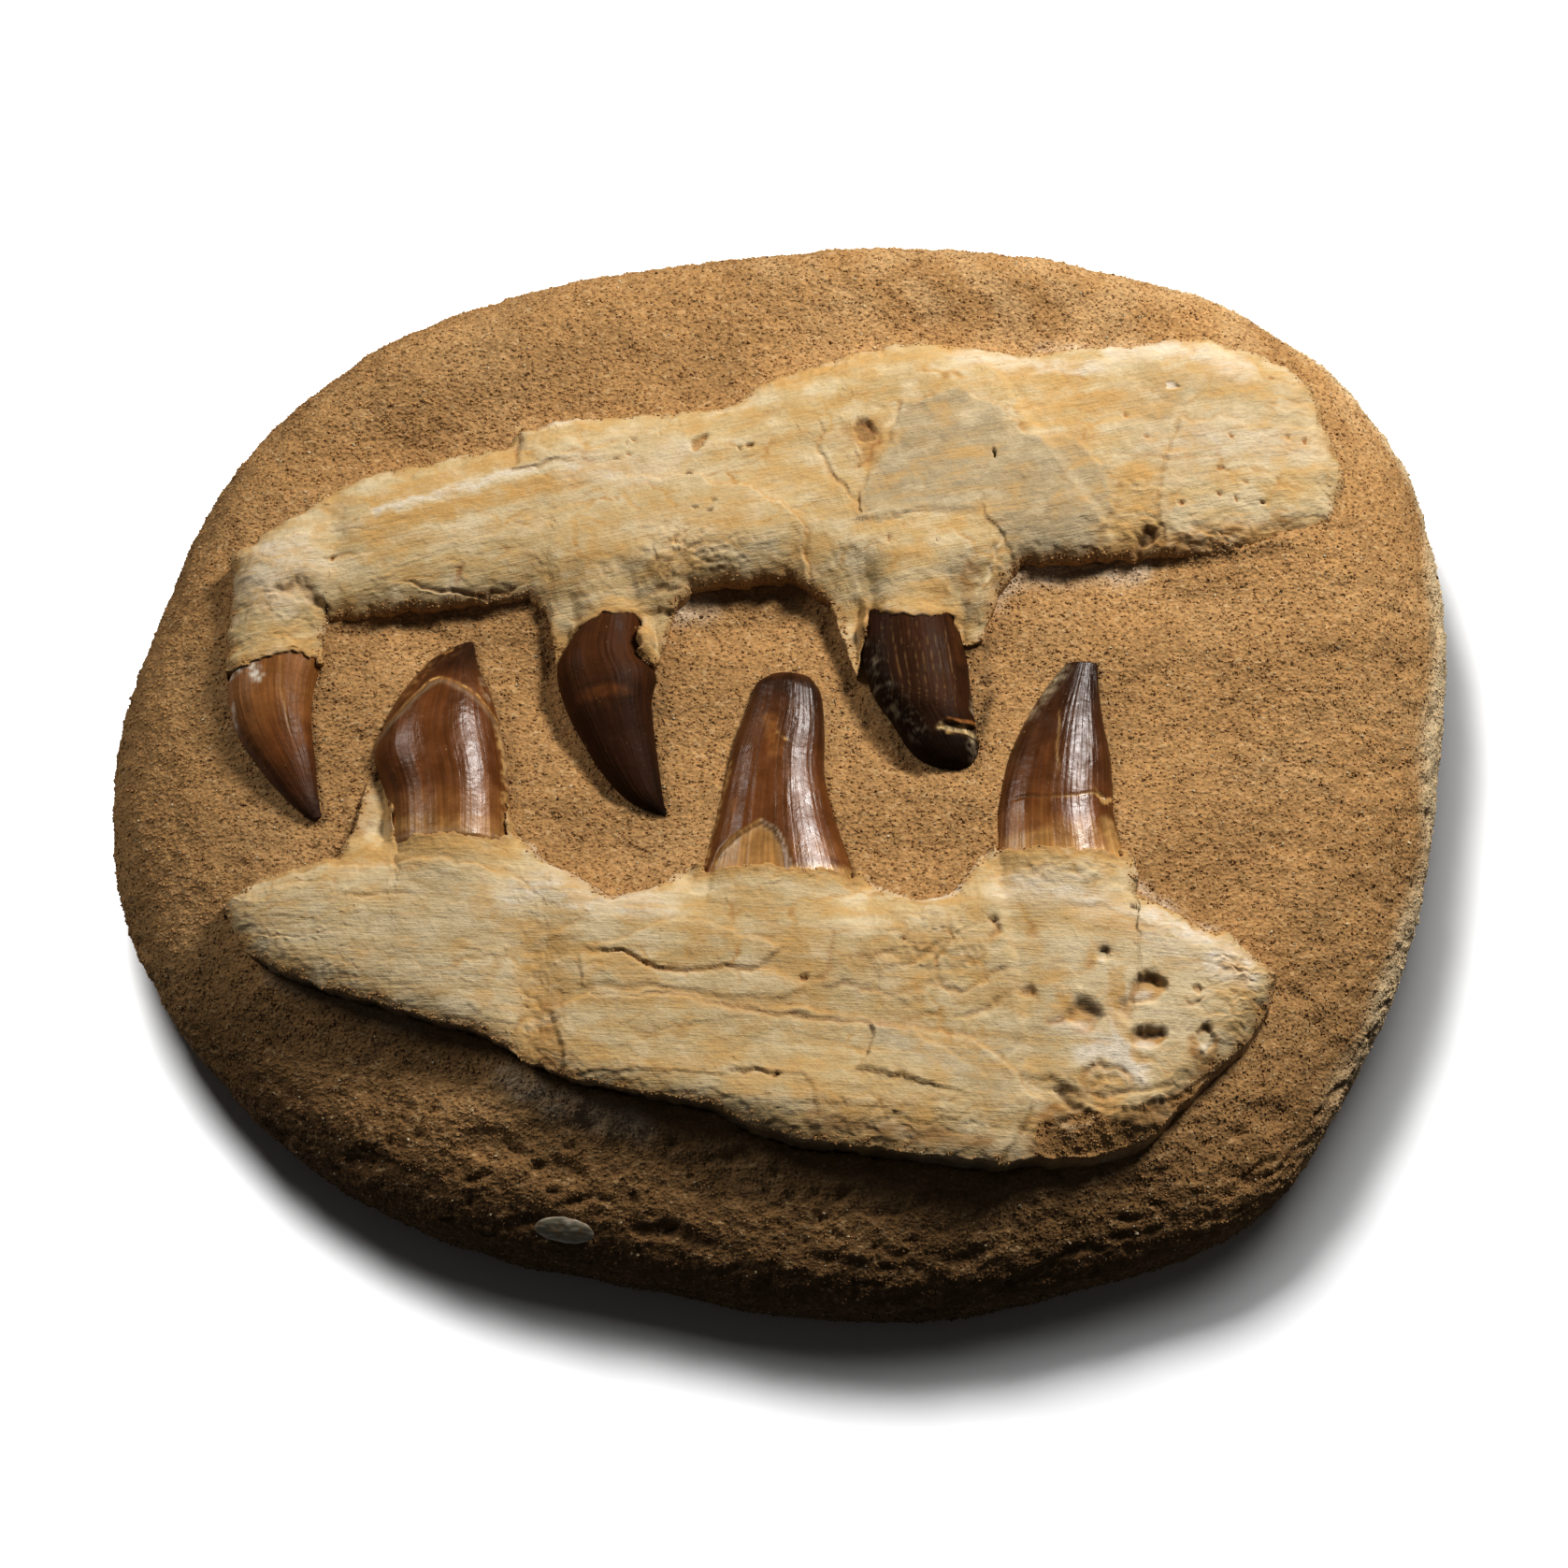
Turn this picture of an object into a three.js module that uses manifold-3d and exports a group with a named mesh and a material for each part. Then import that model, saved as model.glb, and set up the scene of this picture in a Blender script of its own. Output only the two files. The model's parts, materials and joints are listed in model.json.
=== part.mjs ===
// A fossil mosasaur jaw: two runs of jaw bone and six tooth crowns lying in a slab of sandy matrix.
// Millimetres, +Z up. The origin is under the middle of the slab, on the flat base that it rests on.
import * as THREE from 'three';
import { mergeVertices } from 'three/addons/utils/BufferGeometryUtils.js';
import Module from 'manifold-3d';

const wasm = await Module();
wasm.setup();

// Driving dimensions of the slab
const SAND_TOP = 47;
const RIM_HEIGHT = 17;
const BASE_INSET_FRONT = 3;
const BASE_INSET_BACK = 9;
const FRONT_ROUNDING = 2.8;
const BACK_ROUNDING = 24;
const ROUNDING_BLEND = 3;
const RIM_RADII = [
  149, 157, 163, 157, 143, 132.5, 127, 127, 133, 141, 147, 148,
  152, 152, 146, 139, 131, 125, 127.3, 132.4, 139, 148.5, 147, 147,
];

// Driving dimensions shared by the pieces set into the slab
const GAP = 0.3;
const POCKET_FLOOR = 30;
const ABOVE_ALL = 80;
const BONE_ROLL = 14;
const BONE_REACH = 126;
const TIP_LIFT = 0.6;

// Hollows worked into the sand: centre, reach along x and y, and depth
const HOLLOWS = [
  { x: 0, y: 0, wide: 120, long: 30, depth: 5.5 },
  { x: 5, y: -100, wide: 62, long: 15, depth: 5 },
  { x: -82, y: -76, wide: 34, long: 15, depth: 5 },
  { x: -38, y: -31, wide: 17, long: 12, depth: 3 },
  { x: 30, y: -33, wide: 15, long: 12, depth: 3 },
  { x: 90, y: -38, wide: 17, long: 13, depth: 2.5 },
  { x: 13, y: 5, wide: 6, long: 16, depth: 3 },
  { x: -56, y: 10, wide: 6, long: 14, depth: 2.5 },
  { x: -80, y: 20, wide: 22, long: 9, depth: 4 },
  { x: -6, y: 26, wide: 18, long: 9, depth: 4 },
  { x: 82, y: 34, wide: 32, long: 10, depth: 4 },
  { x: -116, y: 42, wide: 16, long: 16, depth: 5.5 },
  { x: -92, y: 68, wide: 24, long: 13, depth: 6 },
  { x: -55, y: 78, wide: 26, long: 13, depth: 2 },
  { x: -18, y: 85, wide: 24, long: 12, depth: 2 },
  { x: 20, y: 99, wide: 28, long: 12, depth: 3.5 },
  { x: 60, y: 98, wide: 28, long: 12, depth: 3.5 },
  { x: 98, y: 98, wide: 24, long: 12, depth: 2 },
  { x: 124, y: 78, wide: 16, long: 18, depth: 3.5 },
];

// Waves that keep the scraped sand from being level: height, lengths along x and y, start, and how far
// the crests bend
const SAND_WAVES = [
  { height: 0.6, alongX: 17, alongY: Infinity, start: 0, bend: 1.3 },
  { height: 0.5, alongX: 41, alongY: 13, start: 2, bend: 0 },
  { height: 0.35, alongX: 7.5, alongY: -9.5, start: 0, bend: 0 },
];
const CREST_BEND_LENGTH = 31;

// Plan of the upper jaw bone: its front edge, on the tooth side, and its back edge, both from left to right
const UPPER_FRONT = [
  [-124, 12], [-103, 14], [-102, 25], [-87.5, 27], [-57, 30], [-53, 26], [-50.5, 14.5], [-29, 13],
  [-26.5, 18], [-24, 27], [-21, 32], [2.5, 34.5], [11, 28.5], [16, 11], [18, 20], [42, 19],
  [44.5, 20], [48.5, 32], [53.5, 38.5], [86.5, 41], [103.5, 42], [118.5, 46.5], [124, 50], [127, 60],
];
const UPPER_BACK = [
  [-124, 41], [-113.5, 49.5], [-108, 52], [-105, 56], [-92.5, 61], [-62, 67.5], [-60.5, 70.5],
  [-50, 74], [-14.5, 77], [-2, 85], [19.5, 92.5], [30.5, 94.5], [53.5, 91], [71, 93.5],
  [97.5, 96], [107, 93], [115.5, 88.5], [120.5, 84], [125, 70], [127, 62],
];

// Plan of the lower jaw bone: its front edge and its back edge, on the tooth side
const LOWER_FRONT = [
  [-123, -43], [-118, -52.5], [-112, -56.5], [-99.5, -62], [-65, -72.5], [-56.5, -78.5], [-45.5, -83],
  [-15, -88.5], [-8, -92.5], [4.5, -96.5], [47.5, -101.5], [54.5, -99.5], [67, -98.5], [78, -95],
  [93.5, -81], [101, -74], [105, -67.5], [107, -62],
];
const LOWER_BACK = [
  [-123, -41], [-112.5, -35.5], [-98.5, -32.5], [-95, -27], [-91, -11], [-86.5, -8], [-84, -20],
  [-61, -20], [-58.5, -27], [-51, -34.5], [-37.5, -42], [-28.5, -40], [-18, -29], [15, -29],
  [21, -39.5], [30, -43], [37, -41.5], [46, -27], [75, -27], [77.5, -41.5], [91, -49], [96.5, -50],
  [107, -60],
];

// The two bones: edge heights at mid-length, how much they crown, how far their ends droop, and the lumps,
// ledges and low spots on them
const UPPER_BONE = {
  name: 'upper_jaw_bone',
  front: UPPER_FRONT,
  back: UPPER_BACK,
  frontHeight: 45,
  backHeight: 46.5,
  crown: 6.5,
  droop: 3.5,
  lumps: [
    { x: -113, y: 32, wide: 12, long: 16, height: 1.6 },
    { x: -101, y: 45, wide: 4, long: 16, height: -1.4 },
    { x: 31, y: 38, wide: 18, long: 14, height: 2.4 },
    { x: -12, y: 47, wide: 16, long: 9, height: 1.6 },
    { x: -39, y: 40, wide: 16, long: 12, height: 1.2 },
    { x: 95, y: 66, wide: 24, long: 18, height: 1.2 },
    { x: 62, y: 80, wide: 14, long: 10, height: -1.2 },
  ],
  ledge: { from: [50, 82], to: [76, 40], drop: 1.6 },
  pits: [
    { x: 47, y: 66, radius: 1.6 },
    { x: -17, y: 52, radius: 2 },
  ],
};
const LOWER_BONE = {
  name: 'lower_jaw_bone',
  front: LOWER_FRONT,
  back: LOWER_BACK,
  frontHeight: 41,
  backHeight: 44.5,
  crown: 6,
  droop: 5,
  lumps: [
    { x: -85, y: -48, wide: 26, long: 16, height: 1.8 },
    { x: -55, y: -62, wide: 6, long: 18, height: -1.8 },
    { x: 0, y: -90, wide: 44, long: 8, height: 2 },
    { x: 8, y: -55, wide: 22, long: 14, height: 1.2 },
    { x: 62, y: -55, wide: 18, long: 20, height: 1.2 },
    { x: 80, y: -84, wide: 22, long: 8, height: -1.6 },
  ],
  ledge: { from: [52, -76], to: [56, -104], drop: 1.8 },
  pits: [
    { x: 70, y: -51, radius: 2 },
    { x: 78, y: -62, radius: 3 },
    { x: 66, y: -65, radius: 2 },
    { x: 92, y: -70, radius: 2.6 },
  ],
};

// Fibre ridges of both bones: height, spacing across them, and the lengths that they rise and fall over
const FIBRES = { height: 0.4, acrossX: 24, acrossY: 2.6, alongX: 19, alongY: 8 };

// Half the width that a broken ledge falls over, and how a hole's bowl is deepened and set above the bone
const LEDGE_REACH = 1.5;
const BOWL_DEEPENING = 1.3;
const BOWL_LIFT = 0.2;

// Tooth crowns: left and right edges in plan from the base to the tip, how far the base bulges towards
// its bone, the height of the axis at the base, and the ratio of thickness to width. The axis ends just
// above the sand at the tip
const BULGE_FADE = 3;
const TEETH = [
  {
    name: 'upper_tooth_front',
    left: [[-124, 10], [-123, 3], [-120, -4.5], [-113.5, -13.5], [-107, -20.5], [-104, -22.7]],
    right: [[-102.5, 16], [-104.5, 9], [-105, 1], [-104, -7], [-103, -16], [-102, -22]],
    bulge: 6, baseHeight: 42, thickness: 0.75,
  },
  {
    name: 'upper_tooth_middle',
    left: [[-47, 21], [-50.5, 14], [-48.5, 4], [-44, -5], [-40, -12], [-34, -18.2], [-26.5, -21.7]],
    right: [[-31, 25], [-31, 16], [-28.5, 12], [-29.4, 5], [-28.5, -4], [-27, -16], [-25.8, -21.4]],
    bulge: 2.5, baseHeight: 42, thickness: 0.75,
  },
  {
    name: 'upper_tooth_rear',
    left: [[18, 28], [17.5, 16], [20, 7], [24, 0.5], [28, -6.5], [32.5, -10], [37, -11], [39, -11]],
    right: [
      [39, 27.5], [41.5, 15], [43, 2], [34.5, -2.5], [42.5, -4.5], [43, -7.5], [41.5, -9.8], [40, -10.6],
    ],
    bulge: -1.5, baseHeight: 42, thickness: 0.7,
  },
  {
    name: 'lower_tooth_front',
    left: [[-86.5, -26], [-87.5, -17.5], [-90.5, -7], [-86, 6], [-79, 15.7], [-72, 20], [-70.2, 20.6]],
    right: [[-60.5, -26], [-61, -12], [-63, -1], [-65, 7], [-68, 14], [-69, 19], [-69.6, 20.4]],
    bulge: 1.5, baseHeight: 42, thickness: 0.68,
  },
  {
    name: 'lower_tooth_middle',
    left: [[-17, -31.5], [-14, -19], [-11, -4], [-7, 7], [-5.5, 10.5], [-3, 12]],
    right: [[15.5, -34], [11, -22], [9, -12], [9, -2], [8, 7], [5.5, 11.7]],
    bulge: -1, baseHeight: 41.5, thickness: 0.62,
  },
  {
    name: 'lower_tooth_rear',
    left: [[47.5, -28.5], [47.8, -17], [50.5, -7], [56.5, 4.5], [61, 12], [64.5, 15.4]],
    right: [[74.5, -30], [72.5, -21], [72.5, -10], [70.8, 0], [70, 9], [69.5, 15.6]],
    bulge: 0.5, baseHeight: 41.5, thickness: 0.66,
  },
];

// The shell fragment in the front slope: its centre and how deep it sinks, its sizes, turn and tilt
const SHELL = {
  x: -47.5, y: -112.5, sink: 0.3, length: 13, breadth: 6, thickness: 2.4, turn: -0.15, tilt: 0.75,
};

// Colours, roughness: nothing here is metal
const MATRIX_FINISH = { color: 0xb08a58, roughness: 0.95 };
const BONE_FINISH = { color: 0xe2cfae, roughness: 0.8 };
const TOOTH_FINISH = { color: 0x6b4226, roughness: 0.4 };
const SHELL_FINISH = { color: 0x9a8f80, roughness: 0.6 };

// How finely the surfaces are laid out, and how far a facet may stand off them
const RIM_STEPS = 90;
const TOP_RINGS = 28;
const SIDE_RINGS = 3;
const RIM_CROWDING = 1.25;
const STATION_STEP = 3.6;
const BONE_COLUMNS = 16;
const BOWL_SIDES = 10;
const BOWL_RINGS = 8;
const TOOTH_RINGS = 13;
const TOOTH_SIDES = 14;
const SHELL_SIDES = 10;
const SHELL_RINGS = 6;
const SAND_FACET = 0.9;
const BONE_FACET = 0.35;
const TOOTH_FACET = 0.15;
const SLIVER = 0.04;
const WELD = 1e-4;
const CORNER_LIMIT = 0.5;

// Cubic through evenly spaced values that close on themselves
function closedCubic(values, place) {
  const count = values.length;
  const start = Math.floor(place);
  const part = place - start;
  const pick = (step) => values[(start + step + 2 * count) % count];
  const [before, first, second, after] = [pick(-1), pick(0), pick(1), pick(2)];
  const bend = 2 * before - 5 * first + 4 * second - after;
  const twist = 3 * (first - second) + after - before;
  return first + 0.5 * part * (second - before + part * (bend + part * twist));
}

function rimRadius(angle) {
  const turn = angle / (2 * Math.PI);
  return closedCubic(RIM_RADII, (turn - Math.floor(turn)) * RIM_RADII.length);
}

// Sum of soft round bumps, each falling off as a bell curve
function bumps(list, key, x, y) {
  let sum = 0;
  for (const bump of list) {
    const across = (x - bump.x) / bump.wide;
    const along = (y - bump.y) / bump.long;
    sum += bump[key] * Math.exp(-(across * across + along * along));
  }
  return sum;
}

function sandWaves(x, y) {
  let sum = 0;
  for (const wave of SAND_WAVES) {
    const bend = wave.bend * Math.sin(y / CREST_BEND_LENGTH);
    sum += wave.height * Math.sin(x / wave.alongX + y / wave.alongY + wave.start + bend);
  }
  return sum;
}

// How squarely the slab's shoulder turns down: gradually at the front, nearly square at the back
function shoulderPower(angle) {
  const backward = ((1 + Math.sin(angle)) / 2) ** ROUNDING_BLEND;
  return FRONT_ROUNDING + (BACK_ROUNDING - FRONT_ROUNDING) * backward;
}

// Height of the sand: a waved plateau with hollows that turns down to the rim
function sandHeight(x, y) {
  const angle = Math.atan2(y, x);
  const reach = Math.min(Math.hypot(x, y) / rimRadius(angle), 1);
  const plateau = SAND_TOP + sandWaves(x, y) - bumps(HOLLOWS, 'depth', x, y) - RIM_HEIGHT;
  return RIM_HEIGHT + plateau * Math.sqrt(1 - reach ** shoulderPower(angle));
}

// Solid between rings of points, each ring counter-clockwise as seen from the last ring. The ends are
// closed by a strip between each point and the one that faces it
function loft(rings) {
  const sides = rings[0].length;
  const positions = rings.flat().flatMap((point) => point.toArray());
  const index = [];
  for (let ring = 0; ring + 1 < rings.length; ring += 1) {
    for (let side = 0; side < sides; side += 1) {
      const next = (side + 1) % sides;
      const corner = ring * sides;
      index.push(corner + side, corner + next, corner + sides + next);
      index.push(corner + side, corner + sides + next, corner + sides + side);
    }
  }
  const last = (rings.length - 1) * sides;
  for (let side = 0; side < sides / 2; side += 1) {
    const [next, facing, opposite] = [side + 1, (sides - side) % sides, sides - side - 1];
    for (const [from, to] of [[next, opposite], [opposite, facing]]) {
      if (from !== to && side !== from && side !== to) {
        index.push(side, to, from);
        index.push(last + side, last + from, last + to);
      }
    }
  }
  const geometry = new THREE.BufferGeometry();
  geometry.setAttribute('position', new THREE.Float32BufferAttribute(positions, 3));
  geometry.setIndex(index);
  return geometry;
}

function toSolid(geometry) {
  const bare = geometry.clone();
  bare.deleteAttribute('normal');
  bare.deleteAttribute('uv');
  const merged = mergeVertices(bare, WELD);
  return new wasm.Manifold(new wasm.Mesh({
    numProp: 3,
    vertProperties: new Float32Array(merged.attributes.position.array),
    triVerts: new Uint32Array(merged.index.array),
  }));
}

function toMesh(name, solid, finish) {
  const result = solid.getMesh();
  const geometry = new THREE.BufferGeometry();
  geometry.setAttribute('position', new THREE.Float32BufferAttribute(result.vertProperties, 3));
  geometry.setIndex(Array.from(result.triVerts));
  geometry.computeVertexNormals();
  const material = new THREE.MeshStandardMaterial({ ...finish, metalness: 0 });
  const mesh = new THREE.Mesh(geometry, material);
  mesh.name = name;
  return mesh;
}

// The whole slab before anything is let into it, as rings from the middle of the top to the base
function slabGeometry() {
  const level = (place) => {
    const ring = [];
    for (let step = 0; step < RIM_STEPS; step += 1) {
      ring.push(place(step * 2 * Math.PI / RIM_STEPS));
    }
    return ring;
  };
  const rings = [];
  for (let count = 0; count <= SIDE_RINGS; count += 1) {
    rings.push(level((angle) => {
      const inset = BASE_INSET_FRONT + (BASE_INSET_BACK - BASE_INSET_FRONT) * (1 + Math.sin(angle)) / 2;
      const down = 1 - count / SIDE_RINGS;
      const radius = rimRadius(angle) - inset * down * down;
      return new THREE.Vector3(radius * Math.cos(angle), radius * Math.sin(angle), RIM_HEIGHT * (1 - down));
    }));
  }
  for (let count = 1; count < TOP_RINGS; count += 1) {
    const reach = Math.cos(Math.PI / 2 * (count / TOP_RINGS) ** RIM_CROWDING);
    rings.push(level((angle) => {
      const radius = rimRadius(angle) * reach;
      const [x, y] = [radius * Math.cos(angle), radius * Math.sin(angle)];
      return new THREE.Vector3(x, y, sandHeight(x, y));
    }));
  }
  return loft(rings);
}

// Height of a polyline's y at x
function edgeAt(points, x) {
  const index = Math.max(1, points.findIndex((point) => point[0] >= x));
  const [from, to] = [points[index - 1], points[index]];
  return THREE.MathUtils.mapLinear(x, from[0], to[0], from[1], to[1]);
}

function boneOutline(bone) {
  return [...bone.front, ...[...bone.back].reverse()].map(([x, y]) => new THREE.Vector2(x, y));
}

function outlineDistance(outline, x, y) {
  const point = new THREE.Vector2(x, y);
  let nearest = Infinity;
  outline.forEach((start, index) => {
    const side = outline[(index + 1) % outline.length].clone().sub(start);
    const along = THREE.MathUtils.clamp(point.clone().sub(start).dot(side) / side.lengthSq(), 0, 1);
    nearest = Math.min(nearest, point.distanceTo(side.multiplyScalar(along).add(start)));
  });
  return nearest;
}

// Each corner moved out by the same distance from both of its sides
function widened(outline, distance) {
  const count = outline.length;
  return outline.map((corner, index) => {
    const before = corner.clone().sub(outline[(index + count - 1) % count]).normalize();
    const after = outline[(index + 1) % count].clone().sub(corner).normalize();
    const out = new THREE.Vector2(before.y + after.y, -before.x - after.x);
    const spread = Math.max(1 + before.dot(after), CORNER_LIMIT);
    return corner.clone().addScaledVector(out, distance / spread);
  });
}

function prism(outline, bottom) {
  const geometry = new THREE.ExtrudeGeometry(new THREE.Shape(outline), {
    depth: ABOVE_ALL - bottom, bevelEnabled: false, steps: 1,
  });
  return toSolid(geometry.translate(0, 0, bottom));
}

// Height of a bone: droops towards both ends with the slab, and rolls up from its outline, with long fibre
// ridges, lumps and a broken ledge
function boneHeight(bone, outline, x, y) {
  const depth = Math.min(outlineDistance(outline, x, y) / BONE_ROLL, 1);
  const roll = Math.sqrt(1 - (1 - depth) ** 2);
  const across = THREE.MathUtils.inverseLerp(edgeAt(bone.front, x), edgeAt(bone.back, x), y);
  const level = THREE.MathUtils.lerp(bone.frontHeight, bone.backHeight, THREE.MathUtils.clamp(across, 0, 1));
  const edge = level - bone.droop * (x / BONE_REACH) ** 4;
  const [from, to] = [bone.ledge.from, bone.ledge.to];
  const beyond = x - THREE.MathUtils.mapLinear(y, from[1], to[1], from[0], to[0]);
  const ledge = bone.ledge.drop * THREE.MathUtils.smoothstep(beyond, -LEDGE_REACH, LEDGE_REACH);
  const ridge = Math.sin(y / FIBRES.acrossY - x / FIBRES.acrossX);
  const fibres = FIBRES.height * ridge * Math.sin(x / FIBRES.alongX + y / FIBRES.alongY);
  return edge + roll * (bone.crown + bumps(bone.lumps, 'height', x, y) + fibres - ledge);
}

// Stations along x: every corner of both edges, with no wide stretch left between two of them
function stationsOf(bone) {
  const corners = [...new Set([...bone.front, ...bone.back].map((point) => point[0]))].sort((a, b) => a - b);
  const stations = [corners[0]];
  for (const corner of corners.slice(1)) {
    const from = stations.at(-1);
    const pieces = Math.ceil((corner - from) / STATION_STEP);
    for (let piece = 1; piece <= pieces; piece += 1) {
      stations.push(THREE.MathUtils.lerp(from, corner, piece / pieces));
    }
  }
  return stations;
}

function boneSolid(bone) {
  const outline = boneOutline(bone);
  const rings = stationsOf(bone).map((x) => {
    const [front, back] = [edgeAt(bone.front, x), edgeAt(bone.back, x)];
    const ring = [new THREE.Vector3(x, back, POCKET_FLOOR), new THREE.Vector3(x, front, POCKET_FLOOR)];
    for (let column = 0; column <= BONE_COLUMNS; column += 1) {
      const y = THREE.MathUtils.lerp(front, back, (1 - Math.cos(Math.PI * column / BONE_COLUMNS)) / 2);
      ring.push(new THREE.Vector3(x, y, boneHeight(bone, outline, x, y)));
    }
    return ring.reverse();
  });
  let solid = toSolid(loft(rings));
  for (const pit of bone.pits) {
    const top = boneHeight(bone, outline, pit.x, pit.y);
    const bowl = new THREE.SphereGeometry(pit.radius, BOWL_SIDES, BOWL_RINGS).scale(1, 1, BOWL_DEEPENING);
    solid = solid.subtract(toSolid(bowl.translate(pit.x, pit.y, top + BOWL_LIFT)));
  }
  return solid;
}

// Elliptical rings between the two edges of a crown, each edge moved out by a margin
function toothRings(tooth, margin) {
  const toCurve = (points) => new THREE.SplineCurve(points.map(([x, y]) => new THREE.Vector2(x, y)));
  const [left, right] = [toCurve(tooth.left), toCurve(tooth.right)];
  const tip = left.getPoint(1).lerp(right.getPoint(1), 0.5);
  const tipHeight = sandHeight(tip.x, tip.y) + TIP_LIFT;
  const rings = [];
  for (let count = 0; count <= TOOTH_RINGS; count += 1) {
    const along = count / TOOTH_RINGS;
    const [start, end] = [left.getPoint(along), right.getPoint(along)];
    const middle = start.clone().lerp(end, 0.5);
    const half = end.clone().sub(start).multiplyScalar(0.5);
    const width = half.length();
    half.multiplyScalar((width + margin) / width);
    const towardsBase = new THREE.Vector2(-half.y, half.x).normalize();
    if (towardsBase.dot(left.getPoint(0).sub(left.getPoint(1))) < 0) {
      towardsBase.negate();
    }
    const axis = THREE.MathUtils.lerp(tooth.baseHeight, tipHeight, along);
    const thick = width * tooth.thickness + margin;
    const push = tooth.bulge * (1 - along) ** BULGE_FADE;
    const endMargin = margin * (count === 0 ? 1 : count === TOOTH_RINGS ? -1 : 0);
    const ring = [];
    for (let side = 0; side < TOOTH_SIDES; side += 1) {
      const turn = side * 2 * Math.PI / TOOTH_SIDES;
      const across = Math.cos(turn);
      const plan = middle.clone().addScaledVector(half, across);
      plan.addScaledVector(towardsBase, push * (1 - across * across) + endMargin);
      ring.push(new THREE.Vector3(plan.x, plan.y, axis + thick * Math.sin(turn)));
    }
    rings.push(ring);
  }
  return rings;
}

// Plan of a crown: the left edge to the tip, the right edge back, and the bulging base
function toothOutline(tooth) {
  const rings = toothRings(tooth, 0);
  const flat = (point) => new THREE.Vector2(point.x, point.y);
  const half = TOOTH_SIDES / 2;
  const leftEdge = rings.map((ring) => flat(ring[half]));
  const rightEdge = rings.map((ring) => flat(ring[0])).reverse();
  const base = rings[0].slice(1, half).map(flat);
  const outline = [...leftEdge, ...rightEdge, ...base];
  return THREE.ShapeUtils.isClockWise(outline) ? outline.reverse() : outline;
}

// A lofted crown, turned right side out whichever way its rings run
function toothSolid(tooth, margin) {
  const rings = toothRings(tooth, margin);
  const solid = toSolid(loft(rings));
  return solid.volume() > 0 ? solid : toSolid(loft(rings.reverse()));
}

// A curved flake: part of a thin shell that follows the slope it lies in
function shellSolid(margin) {
  const flake = new THREE.SphereGeometry(0.5, SHELL_SIDES, SHELL_RINGS);
  flake.scale(SHELL.length + 2 * margin, SHELL.breadth + 2 * margin, SHELL.thickness + 2 * margin);
  flake.rotateX(SHELL.tilt);
  flake.rotateZ(SHELL.turn);
  return toSolid(flake.translate(SHELL.x, SHELL.y, sandHeight(SHELL.x, SHELL.y) - SHELL.sink));
}

// The piece itself, without the crumbs that are cut loose between two pockets
function mainBody(solid) {
  return solid.decompose().sort((one, other) => other.volume() - one.volume())[0];
}

function matrixSlab() {
  let slab = toSolid(slabGeometry()).simplify(SAND_FACET);
  for (const bone of [UPPER_BONE, LOWER_BONE]) {
    slab = slab.subtract(prism(widened(boneOutline(bone), GAP), POCKET_FLOOR - GAP));
  }
  for (const tooth of TEETH) {
    slab = slab.subtract(toothSolid(tooth, GAP));
  }
  return mainBody(slab.subtract(shellSolid(GAP)).simplify(SLIVER));
}

function jawBone(bone) {
  let solid = boneSolid(bone).simplify(BONE_FACET).intersect(prism(boneOutline(bone), 0));
  for (const tooth of TEETH) {
    solid = solid.subtract(prism(widened(toothOutline(tooth), GAP), 0));
  }
  return mainBody(solid.simplify(SLIVER));
}

const fossil = new THREE.Group();
fossil.add(toMesh('matrix_slab', matrixSlab(), MATRIX_FINISH));
for (const bone of [UPPER_BONE, LOWER_BONE]) {
  fossil.add(toMesh(bone.name, jawBone(bone), BONE_FINISH));
}
for (const tooth of TEETH) {
  fossil.add(toMesh(tooth.name, toothSolid(tooth, 0).simplify(TOOTH_FACET), TOOTH_FINISH));
}
fossil.add(toMesh('shell_fragment', shellSolid(0), SHELL_FINISH));

export default fossil;
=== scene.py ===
import itertools
import json
import logging
import math
from dataclasses import dataclass, field
from enum import Enum
from typing import Sequence

import bpy
import numpy as np
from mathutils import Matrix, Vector

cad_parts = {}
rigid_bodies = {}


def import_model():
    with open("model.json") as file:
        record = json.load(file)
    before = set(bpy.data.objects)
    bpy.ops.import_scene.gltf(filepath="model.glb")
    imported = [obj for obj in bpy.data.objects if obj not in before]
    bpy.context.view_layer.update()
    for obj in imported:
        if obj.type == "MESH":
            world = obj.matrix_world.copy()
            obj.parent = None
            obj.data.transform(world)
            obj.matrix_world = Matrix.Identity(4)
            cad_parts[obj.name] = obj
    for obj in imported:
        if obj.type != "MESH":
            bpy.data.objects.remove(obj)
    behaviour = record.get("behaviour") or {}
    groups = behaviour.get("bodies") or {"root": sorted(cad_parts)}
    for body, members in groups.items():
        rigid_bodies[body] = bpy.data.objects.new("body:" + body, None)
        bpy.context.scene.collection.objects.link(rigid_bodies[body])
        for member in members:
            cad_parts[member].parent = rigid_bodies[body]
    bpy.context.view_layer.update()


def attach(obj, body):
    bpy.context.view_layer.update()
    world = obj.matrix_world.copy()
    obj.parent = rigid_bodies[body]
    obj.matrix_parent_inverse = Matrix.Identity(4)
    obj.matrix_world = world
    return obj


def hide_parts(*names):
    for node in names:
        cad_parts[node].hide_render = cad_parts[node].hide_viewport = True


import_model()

Array = np.ndarray
Points = Sequence[tuple[float, float]]
Colour = tuple[float, float, float]

Socket = bpy.types.NodeSocket
Material = bpy.types.Material

MM = 0.001
LOG = logging.getLogger("fossil_jaw")


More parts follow.
